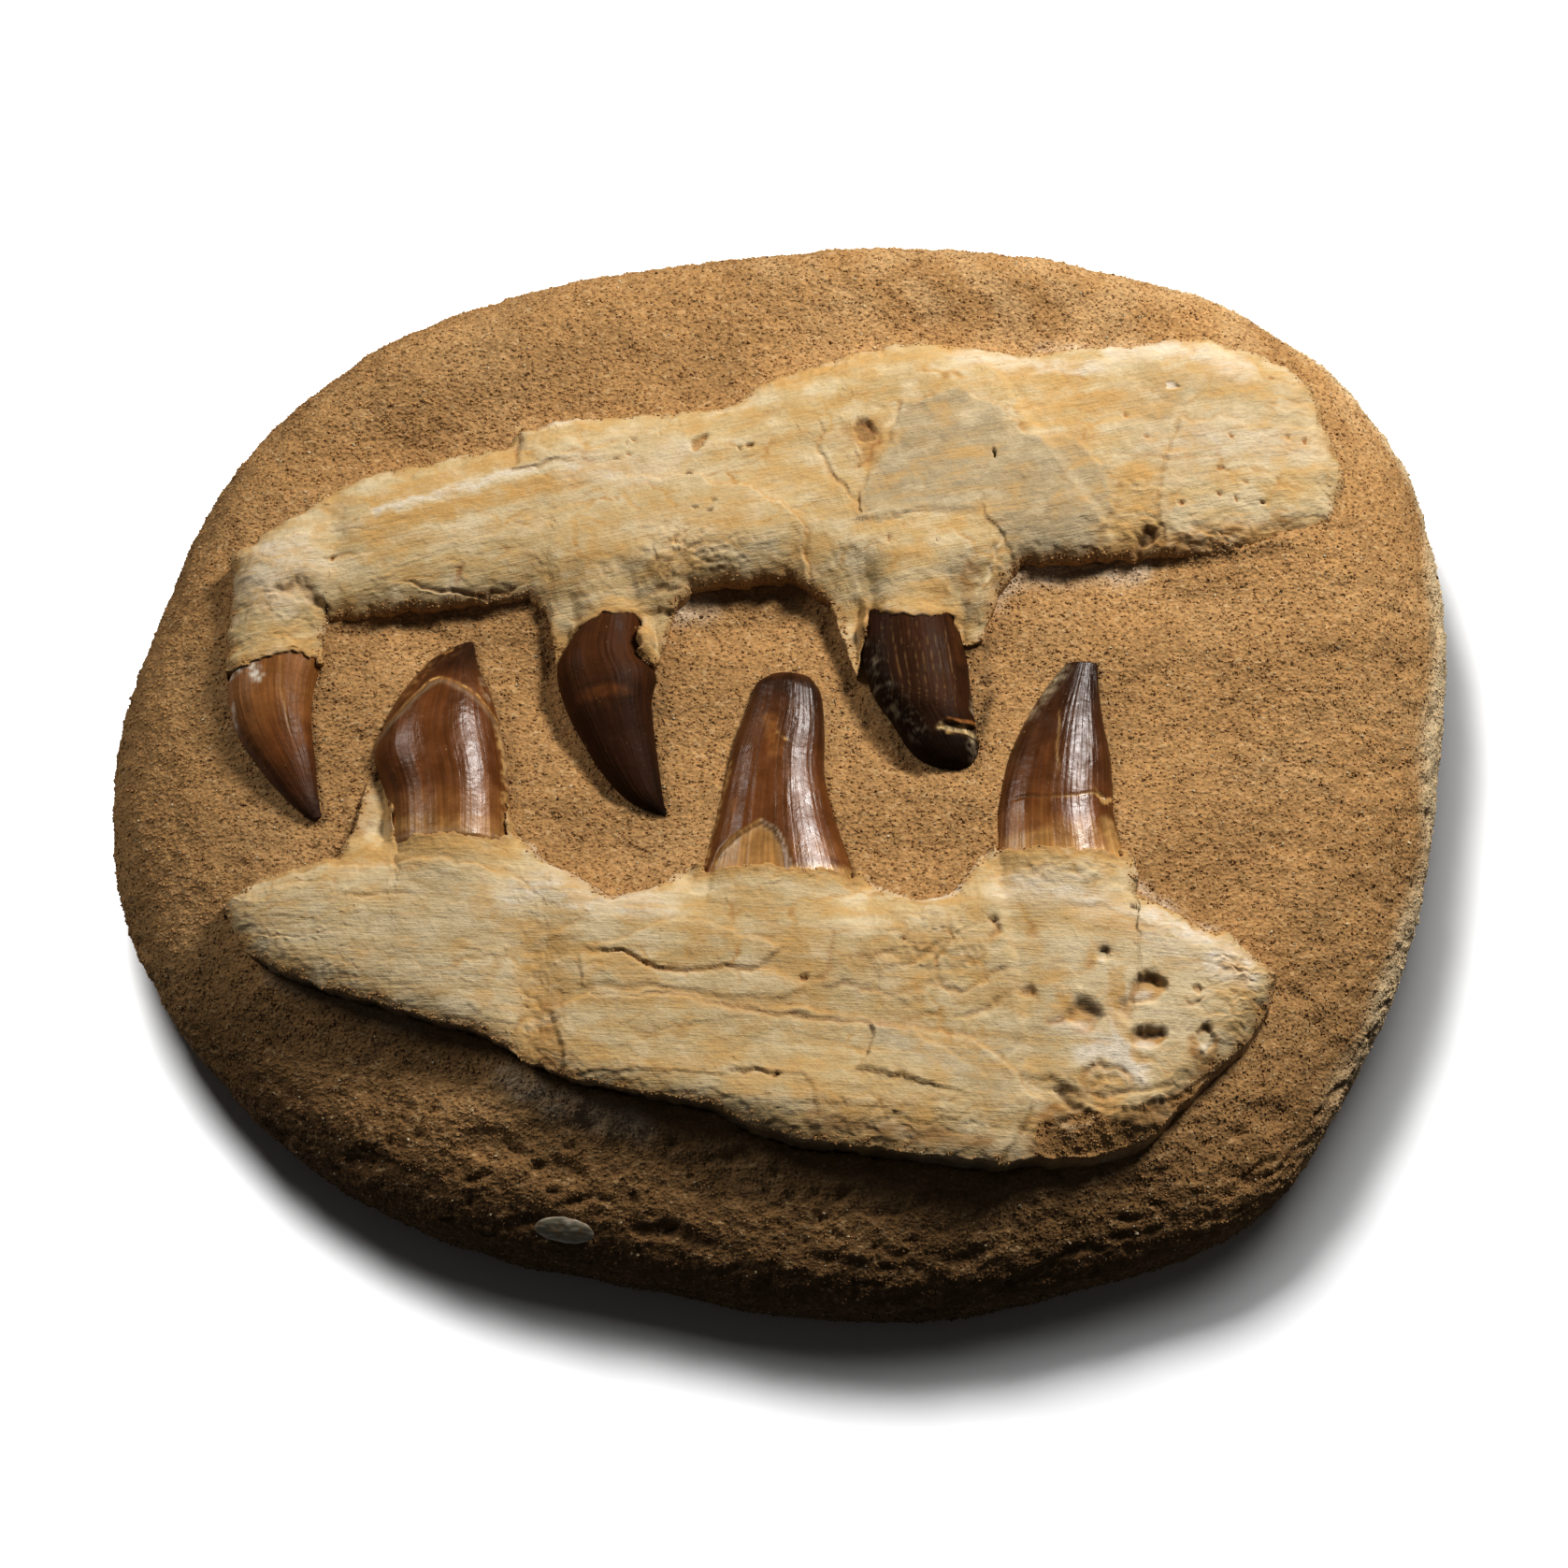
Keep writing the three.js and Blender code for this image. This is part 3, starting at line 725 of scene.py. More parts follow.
@dataclass
class Slab:
    """The rounded slab of matrix, flat underneath.

    The top is laid out on cells by cells, and side_rows lead down to the base, which lies inside the rim
    by its inset. The profile is squarer the larger its rounding. Drop and radius are the profile's usual
    size, skin is the room left for the relief, and sunk is how far it is lowered under bones and crowns.
    """

    name: str = "sand_slab"
    cells: int = 284
    side_rows: int = 12
    front_inset: float = 3.0
    back_inset: float = 9.0
    front_rounding: float = 2.8
    back_rounding: float = 24.0
    rounding_blend: float = 3.0
    drop: float = 30.0
    radius: float = 138.0
    skin: float = 1.0
    sunk: float = 9.0
    profile_steps: int = 900
    profiles: int = 24
    shares: int = 400
    noise: Noise = field(default_factory=lambda: Noise(11))

    def backward(self, angle: Array) -> Array:
        """How far an angle points to the back, from 0 at the front to 1."""
        return ((1.0 + np.sin(angle)) / 2.0) ** self.rounding_blend

    def rim(self, angle: Array) -> Array:
        """Radius of the widest outline, a closed cubic through radii spaced evenly by angle.

        Args:
            angle: angles from +X, in radians.

        Returns:
            The radii.
        """
        place = angle / (2.0 * math.pi) % 1.0 * len(RIM_RADII)
        start = np.floor(place).astype(int)
        part = place - start
        count = len(RIM_RADII)
        before, first, second, after = (RIM_RADII[(start + step) % count] for step in (-1, 0, 1, 2))
        bend = 2.0 * before - 5.0 * first + 4.0 * second - after
        twist = 3.0 * (first - second) + after - before
        return first + 0.5 * part * (second - before + part * (bend + part * twist))

    def height(self, x: Array, y: Array) -> Array:
        """Height of the bare sand: a waved plateau less its hollows, turned down to the rim.

        The turn follows the root of 1 less the reach to the power of the rounding.

        Args:
            x, y: coordinates of the points.

        Returns:
            The heights.
        """
        angle = np.arctan2(y, x)
        reach = np.minimum(np.hypot(x, y) / self.rim(angle), 1.0)
        rounding = self.front_rounding + (self.back_rounding - self.front_rounding) * self.backward(angle)
        waves = 0.6 * np.sin(x / 17.0 + 1.3 * np.sin(y / 31.0)) + 0.5 * np.sin(y / 13.0 + x / 41.0 + 2.0)
        waves = waves + 0.35 * np.sin(x / 7.5 - y / 9.5)
        lowered = sum(depth * bell(x, y, (*place,)) for *place, depth in HOLLOWS)
        plateau = SAND_TOP + waves - lowered - RIM_HEIGHT
        return RIM_HEIGHT + plateau * np.sqrt(np.maximum(1.0 - reach**rounding, 0.0))

    def even_reach(self, share: Array, angle: Array) -> Array:
        """Share of the way out to the rim that spaces the cells evenly along the rounded profile.

        A table holds, for a row of profiles, the share of the radius at even shares of their length, and
        is read between its cells.

        Args:
            share: how far out each vertex is in the even disc, from 0 to 1.
            angle: its angle.

        Returns:
            The share of the rim's radius at which it lies.
        """
        steps = 1.0 - np.linspace(1.0, 0.0, self.profile_steps) ** 3
        bends = np.linspace(self.front_rounding, self.back_rounding, self.profiles)
        fall = self.drop * np.sqrt(1.0 - steps[None] ** bends[:, None])
        length = np.hypot(np.diff(self.radius * steps)[None], np.diff(fall, axis=1)).cumsum(1)
        length = np.concatenate([np.zeros((self.profiles, 1)), length / length[:, -1:]], 1)
        table = np.stack([np.interp(np.linspace(0.0, 1.0, self.shares), row, steps) for row in length])
        place = self.backward(angle) * (self.profiles - 1.001)
        row, part = np.floor(place).astype(int), place % 1.0
        spot = share * (self.shares - 1.001)
        column, rest = np.floor(spot).astype(int), spot % 1.0
        nearer = table[row, column] * (1.0 - rest) + table[row, column + 1] * rest
        farther = table[row + 1, column] * (1.0 - rest) + table[row + 1, column + 1] * rest
        return nearer * (1.0 - part) + farther * part

    def bare(self) -> tuple[Array, Array, Array]:
        """Lays the slab out: a square grid eased into a disc for the top, and rows down to the base.

        Returns:
            Vertex positions, quads, and the vertices of the base outline in order.
        """
        count = self.cells + 1
        u, v = np.meshgrid(np.linspace(-1, 1, count), np.linspace(-1, 1, count))
        disc_x, disc_y = u * np.sqrt(1.0 - v * v / 2.0), v * np.sqrt(1.0 - u * u / 2.0)
        share = np.minimum(np.hypot(disc_x, disc_y), 1.0)
        angle = np.arctan2(disc_y, disc_x)
        reach = self.even_reach(share, angle)
        radius = (self.rim(angle) - self.skin) * reach
        x, y = radius * np.cos(angle), radius * np.sin(angle)
        outwards = self.rim(angle) / (self.rim(angle) - self.skin)
        top = np.stack([x, y, self.height(x * outwards, y * outwards)], -1).reshape(-1, 3)
        number = np.arange(count * count).reshape(count, count)
        ring = np.concatenate([number[0, :-1], number[:-1, -1], number[-1, :0:-1], number[:0:-1, 0]])
        turn = np.arctan2(top[ring, 1], top[ring, 0])
        inset = self.front_inset + (self.back_inset - self.front_inset) * (1.0 + np.sin(turn)) / 2.0
        down = (np.arange(1, self.side_rows + 1) / self.side_rows)[:, None]
        radius = self.rim(turn)[None] - self.skin - inset[None] * down**2
        height = np.broadcast_to(RIM_HEIGHT * (1.0 - down), radius.shape)
        sides = np.stack([radius * np.cos(turn), radius * np.sin(turn), height], -1).reshape(-1, 3)
        numbers = np.concatenate([ring, len(top) + np.arange(len(sides))])
        quads = np.concatenate([
            grid_faces(count, count, False),
            numbers[grid_faces(self.side_rows + 1, len(ring), True)][:, ::-1],
        ])
        return np.concatenate([top, sides]), quads, numbers[-len(ring):]

    def relief(self, places: Array, covered: Array) -> Array:
        """How far the sand stands out or in: broad lumps, finer ones, and long pits on the front slope.

        Args:
            places: vertex positions.
            covered: share of each vertex that bones and crowns cover, which stays calm.

        Returns:
            The distances along the normals.
        """
        x, y, z = places.T
        noise = self.noise
        front = smooth(-78.0, -104.0, y) + 0.6 * smooth(30.0, 18.0, z)
        front = np.clip(front + 0.5 * smooth(95.0, 125.0, x - 0.4 * y), 0.0, 1.0)
        rise = 0.45 * noise.at(x / 13.0, y / 11.0, z / 11.0) + 0.30 * noise.at(x / 4.6, y / 4.2, z / 4.2)
        rise = rise + (0.27 + 0.15 * front) * noise.at(x / 2.1, y / 1.9, z / 1.9)
        rise = rise + 0.16 * noise.at(x / 1.15, y / 0.95, z)
        pits = smooth(0.45, 0.95, noise.at(x / 4.4 + 31.0, y / 2.4, z / 2.2))
        rise = rise - (0.3 + 0.75 * front) * pits
        broad = smooth(0.35, 0.9, noise.at(x / 17.0, y / 7.0 + 50.0, z / 6.0))
        rise = rise - 1.4 * front * broad + 0.25 * front * noise.at(x / 3.4, y / 2.4 + 11.0, z / 2.0)
        return rise * (1.0 - covered) * smooth(0.0, 3.0, z)

    def shades(self, x: Array, y: Array, z: Array) -> Array:
        """Colours of the sand: lighter and darker clouds, paler sand along the right and far rim, and
        painted shade low on the front slope.

        Args:
            x, y, z: coordinates of the points.

        Returns:
            One colour for each point.
        """
        broad = self.noise.at(x / 26.0, y / 20.0, z / 20.0)
        reach = np.hypot(x, y) / self.rim(np.arctan2(y, x)) + 0.012 * broad
        rightward = smooth(0.955, 0.985, reach) * smooth(85.0, 130.0, x + 0.2 * y) * smooth(6.0, 16.0, z)
        pale_rim = rightward + 0.5 * smooth(104.0, 116.0, y + 0.3 * x)
        pale_rim = pale_rim * smooth(-0.4, 0.5, self.noise.at(x / 9.0, y / 9.0, z / 9.0))
        # painted shade: the low front slope, which lies in shade, is darkened with dark sand and dark brown
        low = smooth(38.0, 24.0, z) * smooth(-45.0, -85.0, y) * (1.0 - 0.7 * smooth(55.0, 105.0, x))
        colour = np.tile(np.array(Tone.SAND.value), (len(x), 1))
        for tone, amount in (
            (Tone.SAND_LIGHT, 0.15 * smooth(0.0, 0.8, broad)),
            (Tone.SAND_DARK, 0.15 * smooth(0.0, 0.8, -broad)),
            (Tone.SAND_DARK, 0.85 * low),
            (Tone.GRIME_AND_SHADE, 0.45 * low),
            (Tone.SAND_LIGHT, 0.8 * pale_rim),
            (Tone.PALE, 0.75 * rightward),
        ):
            colour = blend(colour, tone, amount)
        return colour

    def dress(self, bones: Sequence["Bone"], teeth: Sequence["Tooth"]) -> Sequence[Array]:
        """Builds the slab around the bones and crowns.

        Args:
            bones: what lies in it.
            teeth: the crowns that lie in it.

        Returns:
            Vertex positions, quads, the share of each vertex that nothing covers, and its colour.
        """
        places, quads, base = self.bare()
        x, y = places[:, 0], places[:, 1]
        lowered = np.zeros(len(places))
        for outline in [bone.outline for bone in bones] + [tooth.outline for tooth in teeth]:
            lowered = np.maximum(lowered, smooth(1.2, 3.0, depth_inside(x, y, outline)))
        top = smooth(20.0, 30.0, places[:, 2])
        places[:, 2] -= self.sunk * lowered * top
        places = places + vertex_normals(places, quads) * self.relief(places, lowered * top)[:, None]
        x, y, z = places.T
        flat = np.zeros(len(x))
        rise, colour = Details(TRENCHES_WITH_PAINTED_SHADE, patches=DUST).apply(x, y, flat, self.shades(x, y, z), self.noise)
        places[:, 2] += rise * top
        open_share = (1.0 - lowered * top) * smooth(1.0, 3.0, z)
        material = SandFinish().material()
        faces = quads.tolist() + [base[::-1].tolist()]
        piece = make_piece(self.name, places, faces, material, colour)
        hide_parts("matrix_slab")
        return places, quads, open_share, colour


# Dust and dark smears on the sand
DUST = (
    Patch(Tone.ENAMEL_BLACK, [(45, 21), (46, 10), (44, -1)], 1.9, 0.45, broken=0.6),
    Patch(Tone.CHALK, [(-25, 28), (-18, 29)], 5.0, 0.55),
    Patch(Tone.CHALK, [(47, 31), (50, 37), (62, 38.5), (80, 38.5)], 5.0, 0.5),
    Patch(Tone.CHALK, [(-60, -82), (-48, -88), (-30, -93)], 4.5, 0.45),
    Patch(Tone.CHALK, [(-112, -57), (-80, -70)], 3.0, 0.25),
    Patch(Tone.CHALK, [(77, -38), (90, -48), (97, -50)], 2.2, 0.6),
    Patch(Tone.CHALK, [(96, 92), (60, 95)], 4.0, 0.3),
)
# Grooves that the preparation tool left beside bones and crowns, and the berm along the front slope: the
# dark sand tone laid along the grooves is painted shade, and on the berm it is the lower bone's painted
# shadow
TRENCHES_WITH_PAINTED_SHADE = (
    Mark([(-50, 22), (-53.5, 12), (-51, 0), (-45, -10), (-37, -19)], 2.4, 2.0, Tone.SAND_DARK, 0.25),
    Mark([(14.5, 14), (15.5, 8), (18, 1), (24, -8), (31, -13)], 2.0, 2.2, Tone.SAND_DARK, 0.35),
    Mark([(-100, 22), (-88, 25.5), (-70, 27), (-58, 27.5)], 3.2, 2.0, Tone.SAND_DARK, 0.3),
    Mark([(-22, 28), (-15, 32), (-2, 33), (7, 28), (13, 18)], 3.2, 1.4, Tone.SAND_DARK, 0.3),
    Mark([(52, 35), (70, 38), (90, 39.5), (112, 42)], 2.6, 1.3, Tone.SAND_DARK, 0.2),
    # berm along the lower bone's front edge, darkened with the bone's painted shadow
    Mark([(-116, -58), (-99, -66), (-65, -77), (-46, -88), (-15, -95), (4, -102), (47, -107), (67, -104),
          (80, -99), (96, -84)], 5.5, -1.5, Tone.SAND_DARK, 0.15),
)


@dataclass
class Bone:
    """A run of jaw bone set into the sand.

    Front and back are its two edges in plan. Its top rises from the edges' heights by the crown, and by
    lumps of (x, y, reach along x, reach along y, height). It droops towards both ends, and drops by a
    ledge past the line between two points. Crumbs are areas that crumble, fibres run along its lean, and
    an apron is an area that sand still covers. Beyond filled_from sand lies against its front wall. The
    pocket is how deep it opens around a crown, and what stands above calm_top is flattened.
    """

    name: str
    node: str
    front: Points
    back: Points
    front_height: float
    back_height: float
    crown: float
    droop: float
    lumps: Sequence[tuple[float, float, float, float, float]]
    ledge: tuple[tuple[float, float], tuple[float, float], float]
    crumbs: Sequence[tuple[float, float, float, float, float]]
    details: Details
    lean: float
    seed: int
    stations: int = 590
    columns: int = 132
    wall_rows: int = 9
    roll: float = 14.0
    front_roll: float = 14.0
    lip: float = 1.0
    sharp: float = 0.5
    floor: float = 30.0
    half_length: float = 126.0
    calm_top: float = 53.0
    undercut: float = 0.8
    # tone of the open front wall under the top's front edge: painted shade
    under: Tone = Tone.GRIME_AND_SHADE
    apron: Points = ((0.0, 0.0), (0.1, 0.0), (0.0, 0.1))
    filled_from: float = 200.0
    fill_drop: float = 1.5
    pocket: float = 7.0
    end_rows: int = 7

    @property
    def outline(self) -> Points:
        """Plan outline, counter-clockwise."""
        return [*self.front, *reversed(self.back)]

    def height(self, x: Array, y: Array) -> Array:
        """Height of the plain bone: it droops towards both ends and rolls up from its outline.

        Args:
            x, y: coordinates of the points.

        Returns:
            The heights.
        """
        front = np.interp(x, *np.array(self.front).T)
        back = np.interp(x, *np.array(self.back).T)
        across = np.clip((y - front) / np.maximum(back - front, 0.1), 0.0, 1.0)
        depth = depth_inside(x, y, self.outline)
        roll = np.sqrt(1.0 - (1.0 - np.clip(depth / self.roll, 0.0, 1.0)) ** 2)
        ahead = (1.0 - self.lip * (1.0 - np.clip(depth / self.front_roll, 0.0, 1.0)) ** 2) ** self.sharp
        roll = ahead + (roll - ahead) * smooth(0.25, 0.75, across)
        level = self.front_height + (self.back_height - self.front_height) * across
        (x0, y0), (x1, y1), drop = self.ledge
        beyond = x - (x0 + (y - y0) * (x1 - x0) / (y1 - y0))
        swell = sum(height * bell(x, y, (*place,)) for *place, height in self.lumps)
        edge = level - self.droop * (x / self.half_length) ** 4
        filled = smooth(self.filled_from, self.filled_from + 10.0, x) * smooth(0.5, 0.25, across)
        edge = edge - self.fill_drop * filled * smooth(6.0, 0.0, depth)
        return edge + roll * (self.crown + swell - drop * smooth(-1.5, 1.5, beyond))

    def weave(self, x: Array, y: Array, noise: Noise) -> tuple[Array, Array]:
        """Fibres along the bone, crumbling areas, beads, veins and hairlines.

        Args:
            x, y: coordinates of the points.
            noise: the bone's own noise.

        Returns:
            How far each point stands out, and its colour.
        """
        strand = y - self.lean * x + 1.6 * noise.at(x / 34.0, y / 22.0)
        long_waves = noise.at(x / 40.0, strand / 4.4)
        fibres = noise.at(x / 17.0, strand / 1.7)
        fine = noise.at(x / 7.0, strand / 0.8 + 30.0)
        crumb = sum(amount * bell(x, y, (*place,)) for *place, amount in self.crumbs)
        crumb = np.clip(crumb, 0.0, 1.2) * smooth(-0.6, 0.5, noise.at(x / 6.0, y / 5.0) + crumb - 0.3)
        calm = 1.0 - 0.6 * np.clip(crumb, 0.0, 1.0)
        fibrous = 0.45 + 0.55 * smooth(-0.2, 0.4, noise.at(x / 30.0 + 5.0, y / 16.0))
        rise = calm * fibrous * (0.10 * long_waves + 0.08 * fibres + 0.05 * fine)
        rise = rise + 0.07 * noise.at(x / 3.6, y / 3.2) + 0.05 * noise.at(x / 1.5, y / 1.4)
        rise = rise + 0.25 * noise.at(x / 15.0, y / 9.0)
        bent_x = x + 1.2 * noise.at(x / 3.1, y / 2.7)
        bent_y = y + 1.0 * noise.at(x / 3.1 + 40.0, y / 2.7)
        lump, seam = noise.cells(bent_x / 3.6, bent_y / 2.4)
        rise = rise + crumb * (0.2 - 0.3 * lump**1.5 - 0.15 * (1.0 - smooth(0.0, 0.2, seam)))
        rough = 0.45 * noise.at(x / 2.3, y / 1.9) + 0.4 * noise.at(x / 1.15, y / 1.0)
        rough = rough + 0.2 * noise.at(x / 0.7, y / 0.65)
        rise = rise + (crumb + 0.06) * rough + 0.035 * noise.at(x / 0.95, strand / 0.75)
        bead, _ = noise.cells(x / 3.1 + 17.0, y / 2.9)
        beaded = smooth(0.1, 0.3, noise.at(x / 8.0 + 3.0, y / 7.0))
        rise = rise + 0.26 * (1.0 - smooth(0.04, 0.14, bead)) * beaded
        _, vein = noise.cells(bent_x / 11.0 + 5.0, bent_y / 6.5)
        vein = (1.0 - smooth(0.0, 0.16, vein)) * smooth(-0.1, 0.4, noise.at(x / 13.0 + 30.0, y / 9.0))
        thread = np.abs(noise.at(x / 23.0 + 9.0, strand / 3.3)) / 0.05
        hairline = np.exp(-(thread**2)) * smooth(0.05, 0.4, noise.at(x / 19.0, y / 8.0 + 60.0))
        mottle = noise.at(x / 12.0, y / 8.0) + 0.6 * noise.at(x / 4.5, y / 3.6)
        colour = np.tile(np.array(Tone.CREAM.value), (len(x), 1))
        for tone, amount in (
            (Tone.PALE, 0.65 * fibrous * smooth(-0.15, 0.55, long_waves)),
            (Tone.OCHRE, 0.45 * fibrous * smooth(0.05, 0.75, -long_waves + 0.5 * fibres)),
            (Tone.OCHRE, 0.25 * fibrous * smooth(0.2, 0.8, fine)),
            (Tone.PALE, 0.7 * smooth(0.1, 0.8, mottle)),
            (Tone.OCHRE, 0.65 * smooth(0.15, 0.8, -mottle)),
            (Tone.GREYED, 0.20 * smooth(0.15, 0.7, noise.at(x / 9.0 + 77.0, y / 7.0))),
            (Tone.TAN, 0.35 * crumb * smooth(0.1, 0.7, noise.at(x / 3.4, y / 2.6))),
            (Tone.RUST, 0.40 * crumb * (1.0 - smooth(0.0, 0.2, seam))),
            (Tone.OCHRE, 0.8 * vein),
            (Tone.TAN, 0.6 * vein * smooth(-0.1, 0.4, noise.at(x / 5.0, y / 5.0 + 7.0))),
            (Tone.TAN, 0.45 * hairline),
        ):
            colour = blend(colour, tone, amount)
        return rise - 0.12 * vein - 0.16 * hairline, colour

    def surface(self, x: Array, y: Array, teeth: Sequence["Tooth"]) -> tuple[Array, Array, Array]:
        """Height and colour of the dressed bone.

        Args:
            x, y: coordinates of the points.
            teeth: crowns that stand in it.

        Returns:
            The heights, the colours, and how sandy each point is.
        """
        noise = Noise(self.seed)
        depth = depth_inside(x, y, self.outline)
        rise = self.height(x, y)
        for tooth in teeth:
            rise = tooth.socket(x, y, rise)
        raised, colour = self.weave(x, y, noise)
        rise, colour = self.details.apply(x, y, rise + raised, colour, noise)
        sandy = 0.75 * (1.0 - smooth(0.2, 2.6, depth + 1.3 * noise.at(x / 5.0, y / 5.0)))
        sandy = np.maximum(sandy, 0.75 * smooth(-0.5, 0.8, depth_inside(x, y, self.apron)))
        colour = blend(colour, Tone.TAN, 0.7 * sandy)
        over = np.maximum(rise - self.calm_top, 0.0)
        rise = rise - over + over / (1.0 + over)
        wander = 0.7 * noise.at(x / 2.6, y / 2.6 + 20.0) + 0.3 * noise.at(x / 0.9, y / 0.9) - 0.9
        for tooth in teeth:
            cut = depth_inside(x, y, tooth.outline) + wander
            rise = rise - self.pocket * smooth(0.0, 0.9, cut)
            colour = blend(colour, Tone.OCHRE, 0.7 * smooth(-4.0, -1.2, cut))
            colour = blend(colour, Tone.TAN, 0.55 * smooth(-1.6, -0.3, cut))
        return rise, colour, sandy

    def stations_along(self) -> Array:
        """Places along x, spaced by the length of both edges so that steep sides get their share.

        Returns:
            The places, from left to right.
        """
        x = np.linspace(self.front[0][0], self.front[-1][0], 4000)
        sides = [np.interp(x, *np.array(side).T) for side in (self.front, self.back)]
        slopes = [np.abs(np.gradient(side, x)) for side in sides]
        slopes[1] = np.where((x < self.back[0][0]) | (x > self.back[-1][0]), 0.0, slopes[1])
        weight = 1.0 + 0.55 * (np.minimum(slopes[0], 8.0) + np.minimum(slopes[1], 8.0))
        length = np.concatenate([[0.0], np.cumsum((weight[1:] + weight[:-1]) / 2.0 * np.diff(x))])
        return np.interp(np.linspace(0.0, length[-1], self.stations), length, x)

    def wall(self, edge: Array, outwards: float, open_share: Array) -> Array:
        """Rows under one edge of the top, wavy along the bone's layers and undercut where it is open.

        Args:
            edge: the edge's positions.
            outwards: 1 at the back and -1 at the front.
            open_share: how open the wall is at each of them.

        Returns:
            Positions by station and row, from the top down.
        """
        down = np.linspace(0.0, 1.0, self.wall_rows + 1)[1:]
        rows = np.repeat(edge[:, None], self.wall_rows, 1)
        rows[..., 2] += (self.floor - edge[:, 2:]) * down
        noise = Noise(self.seed + 1)
        layers = noise.at(rows[..., 0] / 9.0, rows[..., 2] / 1.1)
        layers = layers + 0.5 * noise.at(rows[..., 0] / 2.0, rows[..., 2] / 0.7)
        under = self.undercut * open_share[:, None] * smooth(0.0, 0.4, down)
        rows[..., 1] += outwards * (0.45 * np.minimum(4.0 * down, 1.0) * layers - under)
        return rows

    def end(self, section: Array, noise: Noise) -> Array:
        """Sections that close one end, each sunk further towards the floor.

        Args:
            section: the last section of the bone there.
            noise: makes the end uneven.

        Returns:
            Positions by section and place in it.
        """
        level = np.linspace(1.0, 0.02, self.end_rows + 1)[1:, None]
        fall = np.repeat(section[None], self.end_rows, 0)
        fall[..., 2] = self.floor + (fall[..., 2] - self.floor) * level
        fall[..., 0] += 0.4 * noise.at(fall[..., 1] / 2.0, fall[..., 2] / 1.5)
        return fall

    def build(self, teeth: Sequence["Tooth"]) -> tuple[Array, Array, Array]:
        """Builds the bone: at each station a section up the back wall, over the top and down the front.

        Args:
            teeth: crowns that stand in it.

        Returns:
            Vertex positions, quads, and how sandy each vertex is.
        """
        stations = self.stations_along()
        front = np.interp(stations, *np.array(self.front).T)
        back = np.maximum(np.interp(stations, *np.array(self.back).T), front + 0.5)
        part = np.linspace(0.0, 1.0, self.columns)
        part = 0.55 * part + 0.45 * (1.0 - np.cos(math.pi * part)) / 2.0
        x = np.repeat(stations[:, None], self.columns, 1)
        y = back[:, None] + (front - back)[:, None] * part
        rise, colour, sandy = self.surface(x.ravel(), y.ravel(), teeth)
        top = np.stack([x, y, rise.reshape(x.shape)], -1)
        open_share = smooth(self.filled_from + 10.0, self.filled_from, stations)
        behind, ahead = self.wall(top[:, 0], 1.0, open_share), self.wall(top[:, -1], -1.0, open_share)
        rows = np.concatenate([behind[:, ::-1], top, ahead], 1)
        noise = Noise(self.seed + 2)
        for axis, shift in ((0, 0.0), (1, 80.0)):
            bend = 0.55 * noise.at(rows[..., 0] / 4.5 + shift, rows[..., 1] / 4.0)
            rows[..., axis] += bend + 0.28 * noise.at(rows[..., 0] / 1.5 + shift, rows[..., 1] / 1.4)
        rows = np.concatenate([self.end(rows[0], noise)[::-1], rows, self.end(rows[-1], noise)])
        quads = grid_faces(*rows.shape[:2], True)
        material = BoneFinish(self.name + "_finish", self.lean).material()
        tones = self.wall_tones(colour.reshape(*x.shape, 3), open_share[:, None]).reshape(-1, 3)
        piece = make_piece(
            self.name, rows.reshape(-1, 3), tube_faces(*rows.shape[:2]), material, tones
        )
        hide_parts(self.node)
        weight = np.pad(sandy.reshape(x.shape), ((self.end_rows,) * 2, (self.wall_rows,) * 2))
        return rows.reshape(-1, 3), quads, weight.ravel()

    def wall_tones(self, colour: Array, open_share: Array) -> Array:
        """Colours of whole sections: tan behind, and under the front edge painted shade in the under tone
        where the wall is open, sand where sand fills it.

        Args:
            colour: colours of the top, by station and place across it.
            open_share: how open the front wall is at each station, as one column.

        Returns:
            The colours, with those of the walls and ends.
        """
        behind = blend(colour[:, :1], Tone.TAN, np.full((1, 1), 0.5))
        # painted shade: the open front wall takes the under tone
        ahead = blend(colour[:, -1:], self.under, 0.6 * open_share)
        ahead = blend(ahead, Tone.SAND, 0.8 * (1.0 - open_share))
        walls = [np.repeat(tones, self.wall_rows, 1) for tones in (behind, ahead)]
        tones = np.concatenate([walls[0], colour, walls[1]], 1)
        return np.pad(tones, ((self.end_rows, self.end_rows), (0, 0), (0, 0)), "edge")


